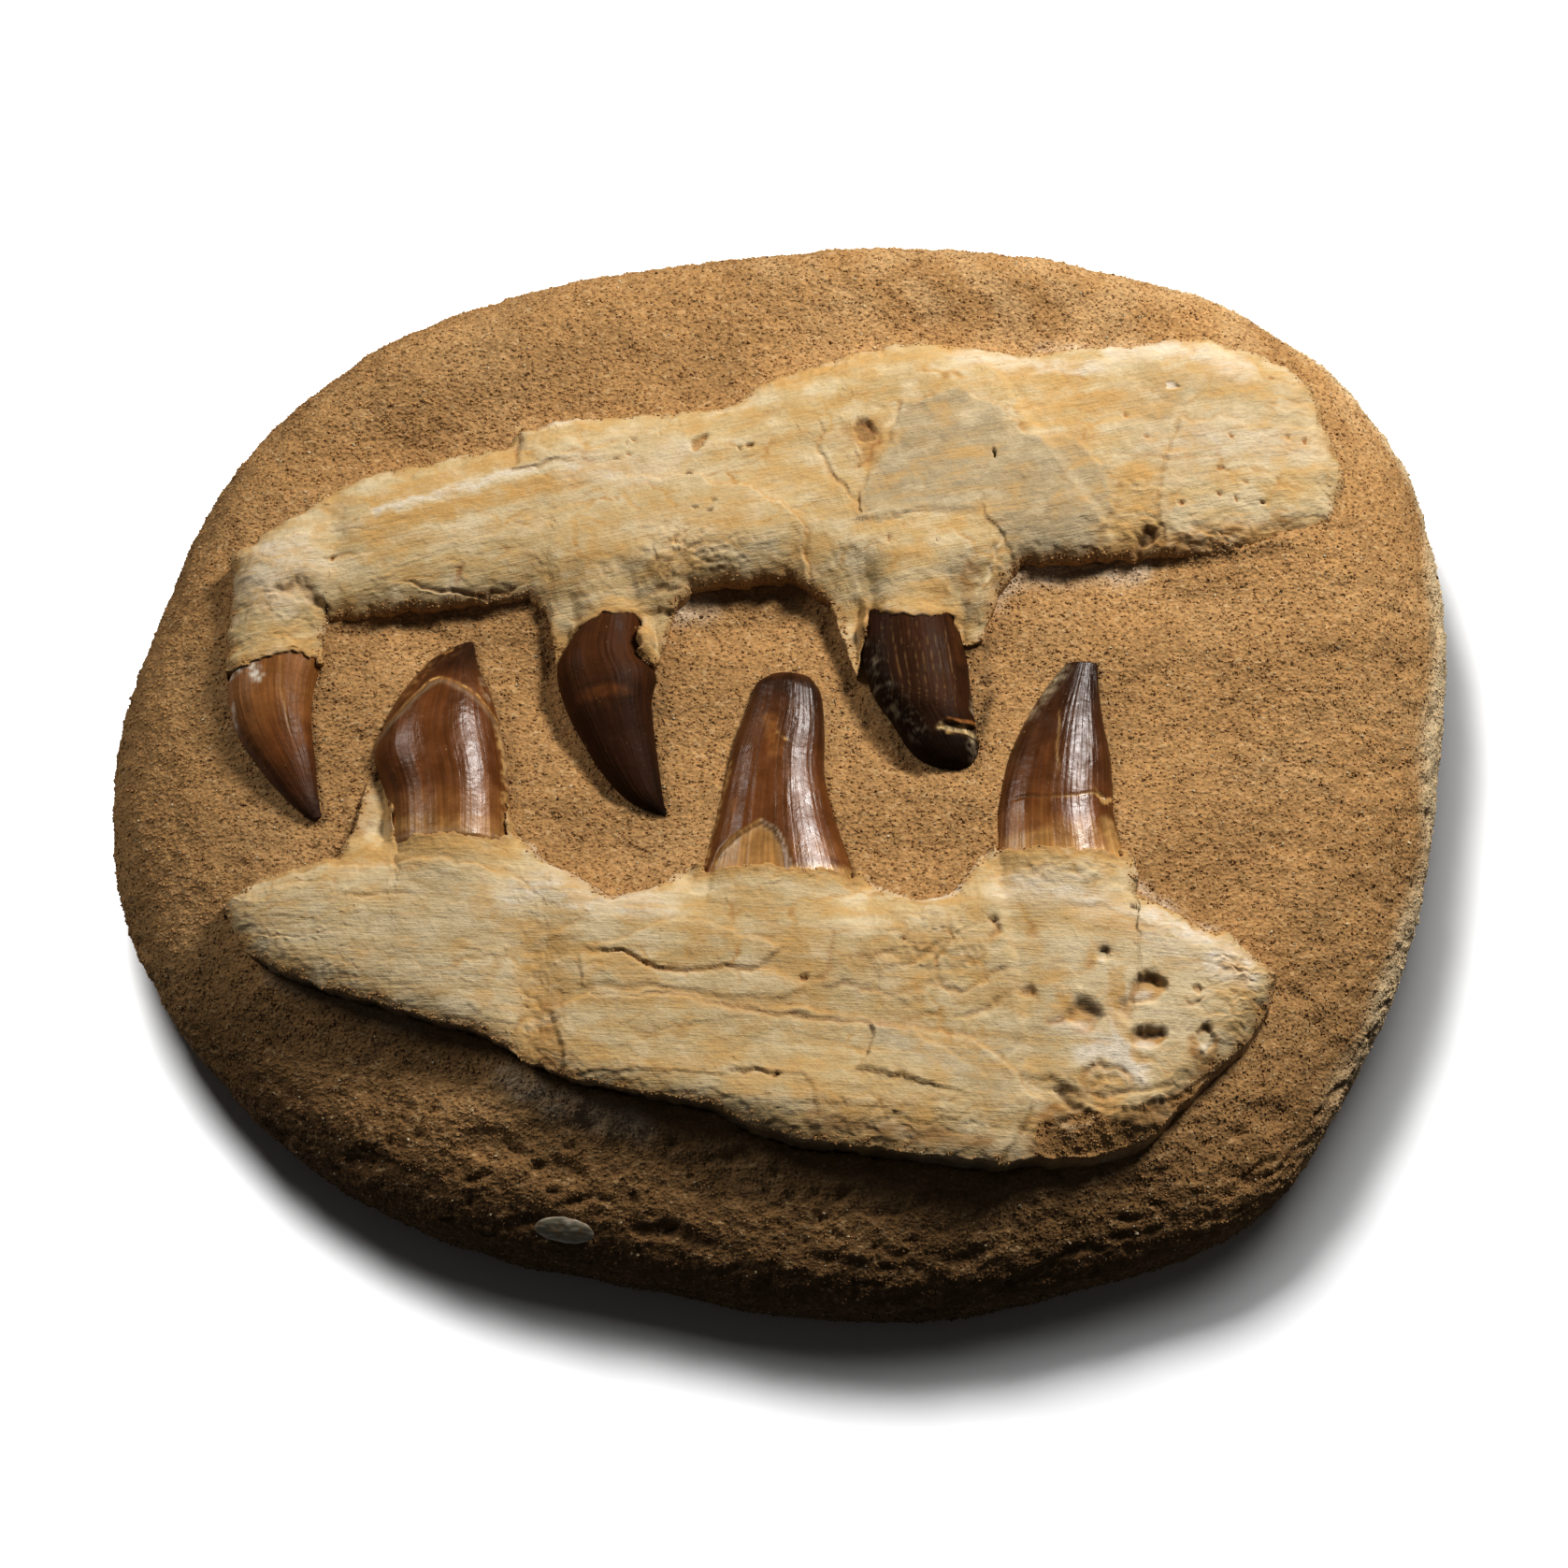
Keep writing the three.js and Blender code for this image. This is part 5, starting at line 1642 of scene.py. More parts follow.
def lower_bone() -> Bone:
    """The run of bone at the front, with three sockets on its back side.

    Returns:
        The bone, with its cluster of holes at the right and its broken lower edge.
    """
    cream, pale, greyed, ochre = Tone.CREAM, Tone.PALE, Tone.GREYED, Tone.OCHRE
    tan, rust = Tone.TAN, Tone.RUST
    chalk, ash, grime_and_shade, sand, sand_dark = Tone.CHALK, Tone.ASH, Tone.GRIME_AND_SHADE, Tone.SAND, Tone.SAND_DARK
    front = [
        (-123, -43), (-118, -53), (-112, -57.5), (-99.5, -63.2), (-65, -74), (-56.5, -80), (-45.5, -85),
        (-15, -91), (-8, -95), (4.5, -99), (47.5, -104), (54.5, -102), (67, -100.7), (78, -97), (93.5, -81),
        (101, -74), (105, -67.5), (107, -62),
    ]
    back = [
        (-123, -41), (-112.5, -35.5), (-98.5, -32.5), (-95, -27), (-91, -11), (-86.5, -8), (-84, -20),
        (-61, -20), (-58.5, -27), (-51, -34.5), (-37.5, -42), (-28.5, -40), (-21, -34.5), (18.6, -36.5),
        (21.5, -40), (30, -43), (37, -41.5), (44.5, -30.5), (76.4, -31), (77.5, -41.5), (91, -49),
        (96.5, -50), (107, -60),
    ]
    lobe = [
        (-124, -46), (-118, -39.5), (-110, -38), (-100, -35.5), (-89.5, -36.5), (-80.5, -35), (-73.5, -36.5),
        (-60, -38), (-52, -46), (-54, -62), (-62, -84), (-124, -64),
    ]
    plate = [
        (-50, -69.5), (-41, -65.5), (-25.5, -65.5), (-17, -67.5), (-6, -69.5), (5.5, -70), (17, -72.5),
        (30, -74), (40, -77), (48, -82), (53.5, -90.5), (49, -100), (44, -106), (-46, -106), (-47.5, -79),
    ]
    strip = [(-44.5, -83.5), (-12.5, -84.3), (-6, -84), (4, -85.5), (6.5, -87), (7, -104), (-48, -104)]
    flap = [
        (-42.5, -55.5), (-33.5, -53.5), (-23.5, -48.5), (-17, -50), (-6, -54), (0, -56), (-6.5, -60.5),
        (-14, -60), (-22, -61), (-29.5, -59.5), (-35, -56.5),
    ]
    under_flap = [
        (-44, -57), (-35, -57), (-29.5, -60), (-22, -61.5), (-14, -60.5), (-4, -61), (4, -65), (-2, -68),
        (-17, -66), (-30, -64), (-44, -64),
    ]
    splinter = [(19.5, -73.5), (27, -75), (32.5, -78.5), (42, -84), (46, -90), (30, -87), (16, -83.5),
                (19, -79)]
    right_end = [
        (40, -20), (40, -84), (54, -85), (57, -84.6), (63, -88.5), (70, -91), (76, -91.5), (84, -88.5),
        (92, -82), (100, -74), (112, -60), (96, -40),
    ]
    apron = [
        (55, -95.8), (57, -94), (64.5, -92.3), (70, -93.3), (76.8, -95.2), (84.4, -92), (92.5, -87.5),
        (99, -82), (104, -74), (108, -110), (51, -110),
    ]
    patches = (
        Patch(pale, lobe, 4.0, 0.45, True, 0.6),
        Patch(ochre, [(-112, -34), (-98, -33), (-88, -33), (-62, -32)], 3.5, 0.75),
        Patch(tan, [(-94, -26), (-90, -12)], 4.0, 0.5),
        Patch(chalk, [(-60, -44), (-52, -40), (-40, -46), (-26, -46)], 5.0, 0.55),
        Patch(ochre, [(-58, -49), (-48, -50), (-46, -60), (-47, -84), (-57, -80)], 3.0, 0.85, True),
        Patch(tan, [(-50, -69), (-52, -77), (-47, -83)], 4.5, 0.75),
        Patch(cream, [*plate], 4.0, 0.4, True, 0.3),
        Patch(ochre, [(-44, -67.5), (-20, -68.5), (10, -71)], 1.8, 0.6),
        Patch(ochre, [(-44, -76), (-38, -84), (-10, -81)], 3.0, 0.5),
        Patch(ochre, [(4, -88), (14, -93), (30, -94)], 5.0, 0.75),
        Patch(sand, [(6, -95), (24, -98), (44, -100)], 2.6, 0.9),
        Patch(ochre, [(-4, -53), (9, -52), (10, -63), (-6, -65)], 3.0, 0.7, True),
        Patch(ochre, [(14, -58), (26, -56), (30, -64), (16, -66)], 3.5, 0.5, True),
        Patch(greyed, [(40, -80), (56, -76), (64, -74)], 5.0, 0.5),
        Patch(chalk, [(60, -72), (66, -75), (76, -82)], 3.6, 0.75),
        Patch(chalk, [(80, -48), (92, -53), (100, -58)], 3.2, 0.75),
        Patch(ochre, [(46, -30), (60, -31), (74, -31)], 3.6),
        Patch(ochre, [(48, -44), (62, -46), (76, -52)], 3.0, 0.4),
        Patch(tan, [(57, -93), (72, -96), (86, -90)], 5.0),
        Patch(sand, [(54, -101), (66, -99), (80, -94), (94, -82)], 4.0),
        Patch(pale, [(21, -75.5), (28, -79), (38, -84)], 4.0, 0.8, broken=0.2),
        Patch(pale, [(58, -50), (74, -57), (88, -58), (97, -64), (92, -78), (74, -86), (60, -80)],
              6.0, 0.7, True, 0.3),
        Patch(chalk, [(64.5, -80), (69, -77.5), (72.5, -79.5), (76.5, -84)], 3.6, 0.85, broken=0.1),
        Patch(chalk, [(70.5, -66), (71.4, -71), (71.8, -76)], 1.7, 0.8, broken=0.1),
        Patch(chalk, [(93, -58), (101, -62)], 3.6),
        Patch(sand, apron, 0.9, 0.85, True, 0.35),
        Patch(sand_dark, apron, 1.4, 0.2, True, 1.6),
        Patch(ochre, [(60.5, -66), (60.5, -72), (66, -73.5)], 1.3),
        Patch(ochre, [(73.6, -60), (72.2, -67), (73, -75), (78, -77.4), (82, -76)], 1.3),
        Patch(tan, [(88.6, -78), (91, -80.5), (93.2, -76)], 1.3, 0.7),
        Patch(ochre, [(60, -66), (62, -71), (58, -70)], 2.6),
        Patch(ochre, [(71.5, -62), (70.5, -68), (73, -74), (78, -75.5)], 2.2),
        Patch(ochre, [(67, -57), (66, -60)], 2.4, 0.6),
        Patch(tan, [(88, -76), (90, -82)], 2.4, 0.7),
        Patch(ochre, [(-18, -33), (0, -31), (15, -33)], 2.4, 0.55),
        Patch(chalk, [(-57, -28.5), (-50.5, -35.5), (-37.5, -42.5), (-28.5, -41), (-19, -31)], 1.3),
        Patch(chalk, [(15.5, -31), (21, -40.5), (30, -43.8), (37, -42.5), (45, -29)], 1.3),
        Patch(chalk, [(76.5, -28), (77.5, -38)], 1.6, 0.85),
        Patch(ochre, [(98, -60), (101, -68)], 3.4, 0.5),
        Patch(ash, [(21, -75), (33, -80), (46, -87)], 5.0, 0.55),
        Patch(chalk, [(48, -41), (62, -42), (78, -50)], 6.0, 0.5),
        Patch(chalk, [(82, -55), (96, -60)], 5.0, 0.35),
    )
    plates = (
        Plate(lobe, 0.7, 0.5, (-48.0, -66.0), 0.55),
        Plate(flap, 0.55, 0.3, None, 0.35),
        Plate(under_flap, 0.35, 0.3, None, 0.35),
        Plate(plate, 0.7),
        Plate(strip, -0.3, 0.3, None, 0.4),
        Plate(splinter, 0.9, 0.25, (47.0, 26.0), 0.3),
        Plate(right_end, 0.8, 0.5, (44.0, 58.0), 0.4),
        Plate(apron, -0.6, 0.35, None, 0.0),
    )
    marks = (
        Mark([(-97, -43), (-85.5, -43), (-80.5, -43.5)], 0.45, 0.45),
        Mark([(-42, -66), (-25, -66.5), (-6, -70.3), (17, -73.3), (30, -74.6), (44, -76.5)],
             0.55, 0.7, rust, 0.45),
        Mark([(-42.5, -56), (-34, -57), (-29.5, -60), (-22, -61.5), (-6, -61)], 0.4, 0.5, rust, 0.4),
        Mark([(9.5, -51.5), (11, -53), (10, -60.5), (8.5, -63), (4.5, -63)], 0.6, 0.2, rust, 0.45),
        Mark([(13.5, -58.5), (24.5, -56.5)], 0.5, 0.25, rust, 0.5),
        Mark([(34.5, -54), (29.5, -58.5), (24.5, -60.5)], 0.55, 0.55),
        Mark([(35, -48.5), (36.5, -53.5), (33, -58.5), (33.5, -63), (36.5, -67)], 0.5, 0.5),
        Mark([(44, -48.5), (46.5, -52), (44.5, -55)], 0.6, 0.9, rust, 0.7),
        Mark([(30, -64), (38, -66), (45, -62), (52, -60)], 0.6, 0.5),
        Mark([(36, -72), (44, -70), (50, -66)], 0.7, 0.6),
        Mark([(-12.5, -84.3), (-6, -84), (-2, -85.5)], 0.5, 0.8, grime_and_shade, 0.4),
        Mark([(24, -67), (14, -64), (8, -66)], 0.45, 0.4, rust, 0.4),
        Mark([(75.4, -66.2), (73.8, -69), (74, -72)], 1.4, 1.0, tan, 0.7),
        # Dark crescents on the upper walls of the holes: painted shadow
        Mark([(68.4, -56), (69.6, -55.6), (70.6, -56.6)], 0.8, 1.0, grime_and_shade, 0.95),
        Mark([(62.6, -68.6), (65.2, -68.4), (67.5, -69.9), (69.7, -71.3)], 1.1, 1.0, grime_and_shade, 0.9),
        Mark([(76.2, -62.8), (79.5, -62.2), (82.4, -64.2)], 1.2, 1.1, grime_and_shade, 0.92),
        Mark([(74.8, -73.6), (77.7, -75), (80.9, -74.3), (83, -75)], 1.2, 1.1, grime_and_shade, 0.92),
        Mark([(90.2, -73.3), (91.6, -72.8), (92.8, -74)], 0.8, 0.8, grime_and_shade, 0.85),
        Mark([(64.8, -88.8), (63.9, -86.3), (64.8, -83.8), (67.9, -82.3), (71.5, -82.5), (74.2, -84.3),
              (74.6, -86.8)], 0.65, 0.8, tan, 0.8),
        Mark([(93.1, -75.3), (92.4, -80.3), (90.2, -84), (85.8, -82.3)], 0.7, 0.4, tan, 0.65),
        # painted shade in the narrow slot
        Mark([(58.3, -88), (60.8, -89.8), (63.9, -92.3)], 0.85, 1.3, grime_and_shade, 0.88),
        Mark([(87, -67), (88.4, -68.6), (91.5, -66.2)], 0.4, 0.4, rust, 0.6),
        Mark([(62, -74.5), (64, -75), (67.5, -73.5)], 0.8, 0.2, rust, 0.55),
        Mark([(56.5, -72.3), (60, -72.8), (62, -71.5)], 0.6, 0.4, rust, 0.6),
        Mark([(74.5, -79), (77, -80.8), (80, -81.4)], 0.9, 0.2, ochre, 0.8),
        Mark([(67, -58.5), (66, -61)], 0.8, 0.2, rust, 0.5),
        Mark([(68, -58.4), (69.4, -58.2)], 0.9, -0.3, chalk, 0.7),
        Mark([(75.6, -66.4), (78.4, -66.2), (80, -65.6)], 1.3, -0.4, chalk, 0.75),
        Mark([(75.4, -77.4), (78, -77.8), (80.4, -77)], 1.2, -0.4, chalk, 0.75),
        Mark([(62.2, -72.6), (64.4, -73.2), (66, -72.6)], 1.3, -0.4, chalk, 0.65),
        Mark([(90.4, -76.6), (91.2, -77.8)], 1.0, -0.3, chalk, 0.7),
        Mark([(48, -80), (51, -77), (52, -83)], 0.8, 0.5, greyed, 0.5),
        Mark([(56, -88), (70, -89), (84, -86)], 0.8, 0.7, tan, 0.5),
        Mark([(60, -46), (70, -47), (80, -51)], 0.9, 0.3, ochre, 0.5),
    )
    holes = (
        (69, -57, 1.4, 1.6, 0.9, 0.2, greyed), (64.6, -71.3, 3.8, 3.2, 1.2, -0.3, tan),
        (78.4, -65.1, 4.5, 3.3, 1.3, 0.3, tan), (78.4, -75.8, 4.4, 2.9, 1.3, 0.1, tan),
        (91.1, -75.3, 2.0, 2.7, 1.0, 0.05, greyed), (69.5, -87.6, 4.6, 4.6, 0.6, 0, ochre),
        (53, -66, 1.6, 1.4, 0.8, 0, tan), (89.5, -64.5, 1.2, 1.0, 0.7, 0, tan), (76, -45.5, 0.8, 0.6, 0.8),
        (4, -63, 1.3, 0.9, 0.9, 0, rust), (25, -85.5, 1.3, 0.5, 0.6, 0, ochre), (-1.5, -85.3, 1.0, 0.7, 1.0),
        (45.5, -49.3, 0.9, 0.7, 1.1), (-20, -34.5, 1.1, 0.5, 0.7, 0, rust),
        (26, -54, 0.5, 0.4, 0.5, 0, rust),
    )
    pits = tuple(Pit(*hole) for hole in holes)
    lumps = (
        (-85, -48, 26, 16, 1.8), (-55, -62, 6, 18, -1.8), (0, -90, 44, 8, 2), (8, -55, 22, 14, 1.2),
        (62, -55, 18, 20, 1.2), (72, -100, 20, 5, -2.0),
    )
    crumbs = (
        (-53, -72, 6, 16, 0.55), (34, -55, 12, 12, 0.55), (22, -93, 16, 6, 0.4), (70, -90, 20, 7, 0.55),
        (0, -38, 16, 6, 0.4), (-73, -28, 14, 5, 0.4), (60, -36, 16, 7, 0.5), (99, -62, 6, 8, 0.7),
        (62, -66, 6, 5, 0.5), (76, -66, 6, 8, 0.25), (20, -60, 12, 8, 0.3), (68, -82, 5, 4, 0.7),
        (64, -97, 12, 5, 0.6), (88, -88, 10, 5, 0.5),
    )
    return Bone(
        "lower_bone", "lower_jaw_bone", front, back, 41.0, 44.5, 5.6, 5.0, lumps,
        ((52, -76), (56, -104), 1.2), crumbs, Details(marks, plates, pits, patches, 0.6), -0.05, 31,
        roll=9.0, front_roll=6.0, lip=0.32, sharp=1.0, filled_from=50.0, undercut=1.5, apron=apron,
    )


def crowns(slab: Slab) -> list[Tooth]:
    """The six crowns, upper ones first, each from left to right.

    Args:
        slab: what their tips lie on.

    Returns:
        The crowns.
    """
    dull = EnamelFinish("upper_enamel_finish", 0.38, 0.16, 0.0)
    dark = EnamelFinish("dark_enamel_finish", 0.44, 0.06, 0.0)
    glossy = EnamelFinish("lower_enamel_finish", 0.28, 0.30, 0.03)
    cream, greyed, ochre, tan = Tone.CREAM, Tone.GREYED, Tone.OCHRE, Tone.TAN
    rust, chalk, grime_and_shade = Tone.RUST, Tone.CHALK, Tone.GRIME_AND_SHADE
    amber, warm, brown = Tone.ENAMEL_AMBER, Tone.ENAMEL_WARM, Tone.ENAMEL_BROWN
    deep, black, dentine = Tone.ENAMEL_DARK, Tone.ENAMEL_BLACK, Tone.DENTINE
    upper_front = CrownDetails(
        patches=(
            Patch(chalk, [(-123, 12), (-119, 14), (-117, 10)], 2.4, 0.8, broken=1.2),
            Patch(chalk, [(-122.5, 4), (-121.5, -2)], 1.0, 0.5, broken=1.2),
            Patch(deep, [(-121, -3), (-114, -12), (-108, -19)], 4.0, 0.5),
        ),
        marks=(Mark([(-112, 16), (-111.5, 6), (-109, -4)], 0.3, 0.1, ochre, 0.3),),
    )
    upper_middle = CrownDetails(patches=(
        Patch(warm, [(-45, 4.5), (-40, 5.5), (-35, 5.8)], 2.2, 0.6),
        Patch(ochre, [(-48.5, -1), (-44.5, -5.5)], 1.2, 0.55, broken=1.3),
        Patch(brown, [(-46, 18), (-44, 10)], 4.0, 0.5),
        Patch(tan, [(-43, -10), (-39, -15)], 0.9, 0.6, broken=1.5),
    ))
    upper_rear = CrownDetails(
        patches=(
            Patch(brown, [(29, 24), (33, 14), (37, 4)], 7.0, 0.45, broken=0.2),
            Patch(black, [(18.5, 16), (22, 6), (29, -6)], 5.0, 0.8, broken=0.2),
            Patch(warm, [(38, 24), (39, 14)], 2.4, 0.35),
            Patch(greyed, [(19, 17), (21, 8), (26, 1), (30, -4)], 3.4, 0.13, broken=2.6),
            Patch(greyed, [(41, 22), (42.5, 12), (42, 2)], 1.2, 0.4, broken=1.2),
            Patch(rust, [(36.4, -1.5), (39.5, -1.3), (43.5, -0.4)], 0.8, 0.85, broken=0.3),
            Patch(cream, [(34.4, -3.2), (37, -3.5), (40, -3.0), (43.6, -3.0)], 1.25, 0.95, broken=0.5),
            Patch(ochre, [(36, -4.4), (40, -4.0)], 0.7, 0.6, broken=0.8),
            Patch(greyed, [(41.5, -6), (42, -9)], 1.8, 0.4, broken=1.0),
        ),
        plates=(
            Plate([(33.8, -3.2), (36, -1.8), (39.5, -2.4), (45, -0.6), (45, -4.2), (40.5, -4.4),
                   (37, -4.2)], -1.3, 0.35, None, 0.1),
        ),
        marks=tuple(
            Mark([(x, 23), (x + 2.2, 10), (x + 2.8, 1)], 0.11, 0.03, ochre, 0.22)
            for x in (21.5, 23.5, 25.2, 27.4, 29.0, 31.2, 33.0, 35.4)
        ),
    )
    lower_front = CrownDetails(
        plates=(
            Plate([(-90, -30), (-92, -6), (-85.5, 0), (-81.5, 5), (-78.5, 8), (-76, 8.8), (-73, 7.8),
                   (-69.5, 5.5), (-66.5, 3), (-64, 0), (-62, -4), (-58, -30)], 0.35, 0.2, None, 0.5),
        ),
        patches=(
            Patch(ochre, [(-85.5, 1), (-81.5, 5.6), (-78.5, 8.6), (-76, 9.3), (-73, 8.3), (-69.5, 6.2),
                          (-66.5, 3.6), (-64, 0.5)], 0.45, 0.8, broken=1.4),
            Patch(tan, [(-85, 7), (-79, 14), (-74, 18)], 3.0, 0.5, broken=2.0),
            Patch(deep, [(-77, 14), (-72, 14), (-69, 18)], 4.0, 0.7),
            Patch(greyed, [(-67, 10), (-65.5, 5)], 1.6, 0.3, broken=1.4),
            Patch(deep, [(-88, -4), (-84, 2), (-80, 6)], 2.2, 0.45),
            Patch(amber, [(-84, -22), (-63, -23)], 6.0, 0.7),
            Patch(dentine, [(-86, -26), (-74, -27.5), (-62, -27)], 3.2, 0.6),
            Patch(tan, [(-85, -26), (-80, -27)], 2.2, 0.6),
            Patch(ochre, [(-61.5, -25), (-62, -12), (-64, 0)], 1.1, 0.6, broken=1.2),
        ),
    )
    lower_middle = CrownDetails(
        plates=(
            Plate([(-17, -44), (-16, -35.5), (-14, -31.5), (-11, -29), (-5, -25.6), (-2, -28), (0, -32),
                   (1.5, -44)], -0.6, 0.2, None, 0.4),
        ),
        patches=(
            Patch(dentine, [(-17, -44), (-15.5, -35.5), (-13.5, -31.8), (-10.5, -29.4), (-5, -26.1),
                            (-2.4, -28.4), (-0.5, -32), (1, -44)], 0.4, 0.95, True, 0.2),
            Patch(chalk, [(-5, -25.2), (-1.6, -27.8), (0.4, -32), (1.6, -38)], 0.45, 0.75, broken=0.4),
            Patch(ochre, [(-15.5, -35), (-13.5, -31.2), (-10.5, -28.6), (-5, -25.2)], 0.4, 0.7, broken=0.6),
            Patch(ochre, [(-17.5, -34), (-14.5, -20), (-12, -10)], 1.2, 0.7, broken=1.0),
            Patch(ochre, [(3, -39), (17, -38)], 4.0),
            Patch(amber, [(-2, -8), (-3, 0)], 2.6, 0.75),
            Patch(ochre, [(-2, -3), (0.5, -5.5)], 0.6, 0.7, broken=1.4),
            Patch(amber, [(3, -32), (15, -32)], 4.6, 0.6),
            Patch(amber, [(-13, -28), (-11.5, -20)], 2.0, 0.5),
        ),
    )
    lower_rear = CrownDetails(
        patches=(
            Patch(greyed, [(54.5, 2), (58.5, 8), (62, 13)], 2.8, 0.5, broken=0.8),
            Patch(ochre, [(68, -17.5), (70, -20), (72, -19)], 0.9, 0.9, broken=1.0),
            Patch(dentine, [(50, -30), (62, -29), (74, -28)], 3.2, 0.5),
            Patch(ochre, [(71, -25), (73.5, -33)], 2.6, 0.7),
            Patch(tan, [(52, -31), (57, -29)], 2.6, 0.9),
        ),
        marks=(
            Mark([(49.5, -20), (53.5, -19.5), (59, -20)], 0.3, 0.35, grime_and_shade, 0.7),
            Mark([(59, -20), (64, -19.6), (68.5, -18.5), (72, -20.5)], 0.3, 0.15, ochre, 0.5),
            Mark([(60, -16), (60.5, -6), (61, 2)], 0.25, 0.05, ochre, 0.5),
        ),
        pits=(Pit(69.5, -18.8, 1.2, 0.7, 0.5, -0.4, ochre),),
    )
    return [
        Tooth(
            "upper_front_crown", "upper_tooth_front", "upper_enamel",
            [(-124, 10), (-123, 3), (-120, -4.5), (-113.5, -13.5), (-107, -20.5), (-104, -22.7)],
            [(-102.5, 16), (-104.5, 9), (-105, 1), (-104, -7), (-103, -16), (-102, -22)],
            3.0, 41.8, 0.62, ((0, amber), (0.25, amber), (0.5, warm), (0.72, brown), (0.9, deep), (1, deep)),
            dull, upper_front, 41, slab,
        ),
        Tooth(
            "upper_middle_crown", "upper_tooth_middle", "upper_enamel",
            [(-47, 21), (-50.5, 14), (-48.5, 4), (-44, -5), (-40, -12), (-34, -18.2), (-26.5, -21.7)],
            [(-31, 25), (-31, 16), (-28.5, 12), (-29.4, 5), (-28.5, -4), (-27, -16), (-25.8, -21.4)],
            2.5, 42.6, 0.75, ((0, brown), (0.2, brown), (0.45, deep), (0.7, deep), (1, black)), dark,
            upper_middle, 42, slab,
        ),
        Tooth(
            "upper_rear_crown", "upper_tooth_rear", "upper_enamel",
            [(18, 27.5), (17.5, 16), (20, 7), (24, 0.5), (28, -6.5), (32.5, -10), (37, -11), (39, -11)],
            [(38.6, 26.5), (40.8, 15.5), (42, 4), (42.6, -1), (43.2, -4.5), (42.8, -7.5), (41.5, -9.8),
             (40, -10.6)],
            -2.6, 42.8, 0.7, ((0, deep), (0.3, deep), (0.55, black), (1, black)), dark,
            upper_rear, 43, slab,
        ),
        Tooth(
            "lower_front_crown", "lower_tooth_front", "lower_enamel",
            [(-86.5, -29), (-87.5, -18), (-90.5, -7), (-86, 6), (-79, 15.7), (-72, 20), (-70.2, 20.6)],
            [(-60.2, -29), (-61, -13), (-63, -1), (-65, 7), (-68, 14), (-69, 19), (-69.6, 20.4)],
            1.5, 42.0, 0.68, ((0, amber), (0.18, warm), (0.45, warm), (0.62, brown), (0.8, deep), (1, deep)),
            glossy, lower_front, 44, slab,
        ),
        Tooth(
            "lower_middle_crown", "lower_tooth_middle", "lower_enamel",
            [(-19, -37.5), (-14.8, -21), (-11, -4), (-7.5, 6), (-6.2, 10.2), (-3.5, 12)],
            [(17.2, -39.5), (11.8, -24), (9, -12), (9, -2), (8.4, 7), (6.2, 11.2)],
            -1.0, 41.5, 0.50, ((0, warm), (0.3, warm), (0.6, brown), (0.85, deep), (1, brown)), glossy,
            lower_middle, 45, slab,
        ),
        Tooth(
            "lower_rear_crown", "lower_tooth_rear", "lower_enamel",
            [(45.5, -32.5), (46.8, -19), (49.6, -8), (55, 3.4), (59.6, 10.6), (62.4, 14.2)],
            [(75.5, -34), (73, -22), (72.5, -10), (71, 0), (70.2, 8), (70, 14.2)],
            0.5, 41.5, 0.56,
            ((0, dentine), (0.1, amber), (0.2, warm), (0.45, brown), (0.8, deep), (1, deep)),
            glossy, lower_rear, 46, slab,
        ),
    ]


@dataclass(frozen=True)
class Lamp:
    """A square soft light, which lights either the fossil or the floor alone.

    Its azimuth runs from +Y to +X, its size and distance are in metres, and its power is in watts.
    """

    name: str
    azimuth: float
    elevation: float
    size: float
    power: float
    distance: float
    on_floor: bool = False

    def place(self, lit: bpy.types.Collection) -> None:
        """Adds the light, aimed at the slab.

        Args:
            lit: the collection that it lights.
        """
        turn, lift = math.radians(self.azimuth), math.radians(self.elevation)
        way = Vector((math.sin(turn) * math.cos(lift), math.cos(turn) * math.cos(lift), math.sin(lift)))
        data = bpy.data.lights.new(self.name, "AREA")
        data.size = self.size
        data.energy = self.power
        lamp = bpy.data.objects.new(self.name, data)
        lamp.location = way * self.distance
        lamp.rotation_euler = (-way).to_track_quat("-Z", "Y").to_euler()
        lamp.light_linking.receiver_collection = lit
        bpy.context.scene.collection.objects.link(lamp)


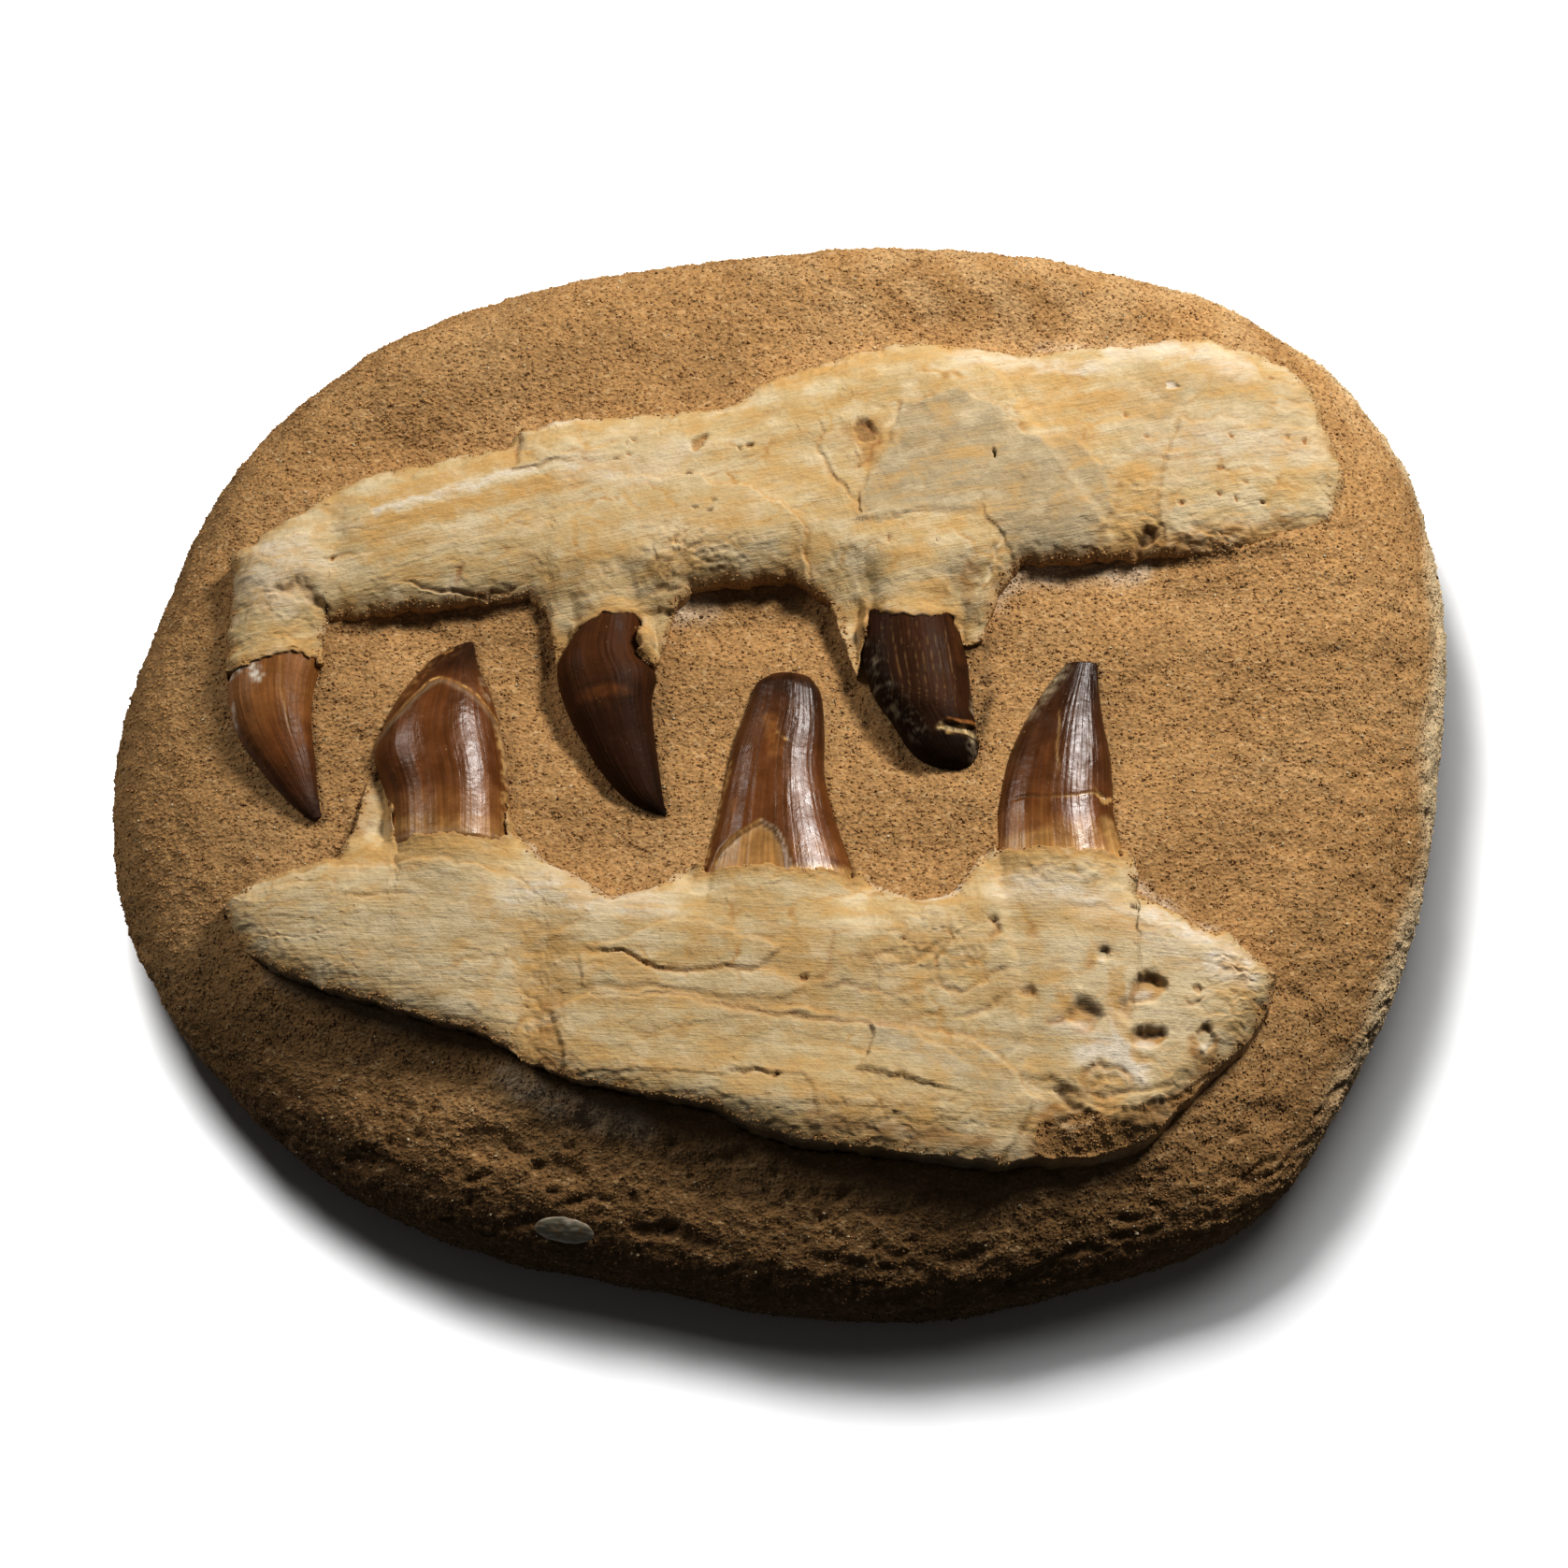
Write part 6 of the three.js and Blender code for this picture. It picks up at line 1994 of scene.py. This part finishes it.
@dataclass(frozen=True)
class Studio:
    """A plain pale floor, soft lights and the camera."""

    floor_reach: float = 3.0
    elevation: float = 66.0
    distance: float = 1.2
    target: Colour = (0.0, -0.0063, 0.025)
    frame_width: float = 0.35217
    ambient: float = 0.06
    contrast: float = 0.75
    lamps: Sequence[Lamp] = (
        Lamp("back_right_light", 44.0, 47.0, 0.26, 12.2, 1.0),
        Lamp("back_left_light", -58.0, 38.0, 0.42, 7.0, 1.3),
        Lamp("floor_right_light", 16.0, 59.0, 1.10, 12.0, 1.3, True),
        Lamp("floor_left_light", -28.0, 52.0, 0.50, 24.5, 1.3, True),
    )

    def build(self) -> None:
        """Adds the floor, the lights, the room and the camera."""
        fossil = bpy.data.collections.new("fossil")
        for piece in bpy.context.scene.objects:
            if piece.type == "MESH":
                fossil.objects.link(piece)
        ground = bpy.data.collections.new("ground")
        ground.objects.link(self.floor())
        for lamp in self.lamps:
            lamp.place(ground if lamp.on_floor else fossil)
        self.camera()
        world = bpy.data.worlds.new("room")
        world.use_nodes = True
        world.node_tree.nodes["Background"].inputs["Strength"].default_value = self.ambient
        world.node_tree.nodes["Background"].inputs["Color"].default_value = (1.0, 1.0, 1.0, 1.0)
        bpy.context.scene.world = world
        bpy.context.scene.view_settings.view_transform = "Standard"
        bpy.context.scene.view_settings.gamma = self.contrast

    def floor(self) -> bpy.types.Object:
        """Lays a flat pale floor under the slab.

        Returns:
            The floor.
        """
        mesh = bpy.data.meshes.new("floor")
        signs = ((-1.0, -1.0), (1.0, -1.0), (1.0, 1.0), (-1.0, 1.0))
        corners = [(self.floor_reach * x, self.floor_reach * y, 0.0) for x, y in signs]
        mesh.from_pydata(corners, [], [(0, 1, 2, 3)])
        shader = Shader("pale_floor")
        paper = shader.noise(shader.place((60.0, 60.0, 60.0)), 3.0)
        grey = shader.spread(paper, 0.3, 0.7, 0.93, 0.95)
        colour = shader.node("ShaderNodeCombineColor", {0: grey, 1: grey, 2: grey}).outputs[0]
        mesh.materials.append(shader.finish(colour, 0.9, paper, 0.01, Specular_IOR_Level=0.1))
        floor = bpy.data.objects.new("floor", mesh)
        bpy.context.scene.collection.objects.link(floor)
        floor.visible_diffuse = False
        return floor

    def camera(self) -> None:
        """Camera that looks down on the slab from the front."""
        lift = math.radians(self.elevation)
        data = bpy.data.cameras.new("camera")
        data.lens = data.sensor_width * self.distance / self.frame_width
        camera = bpy.data.objects.new("camera", data)
        way = Vector((0.0, -math.cos(lift), math.sin(lift)))
        camera.location = Vector(self.target) + way * self.distance
        camera.rotation_euler = (math.pi / 2.0 - lift, 0.0, 0.0)
        bpy.context.scene.collection.objects.link(camera)
        bpy.context.scene.camera = camera


def main() -> None:
    """Builds every piece, then the studio."""
    logging.basicConfig(level=logging.INFO, format="%(message)s")
    slab = Slab()
    teeth = crowns(slab)
    bones = [upper_bone(), lower_bone()]
    sand, sand_quads, bare, shades = slab.dress(bones, teeth)
    grain_finish = GrainFinish().material()
    for number in range(SAND_BATCHES):
        grains = Grains(f"sand_grains_{number + 1}", GRAINS_IN_BATCH, 0.20, 0.50, 50 + number)
        grains.build(sand, sand_quads, bare, shades, grain_finish)
    for bone, own in zip(bones, (teeth[:3], teeth[3:])):
        places, quads, sandy = bone.build(own)
        tones = np.tile(np.array(Tone.SAND.value), (len(places), 1))
        crumbs = Grains(bone.name + "_grains", CRUMBS_ON_BONE, 0.20, 0.42, 60)
        crumbs.build(places, quads, sandy**2, tones, grain_finish)
    for tooth in teeth:
        tooth.build()
    Shell().build(slab)
    Studio().build()


if __name__ == "__main__":
    main()
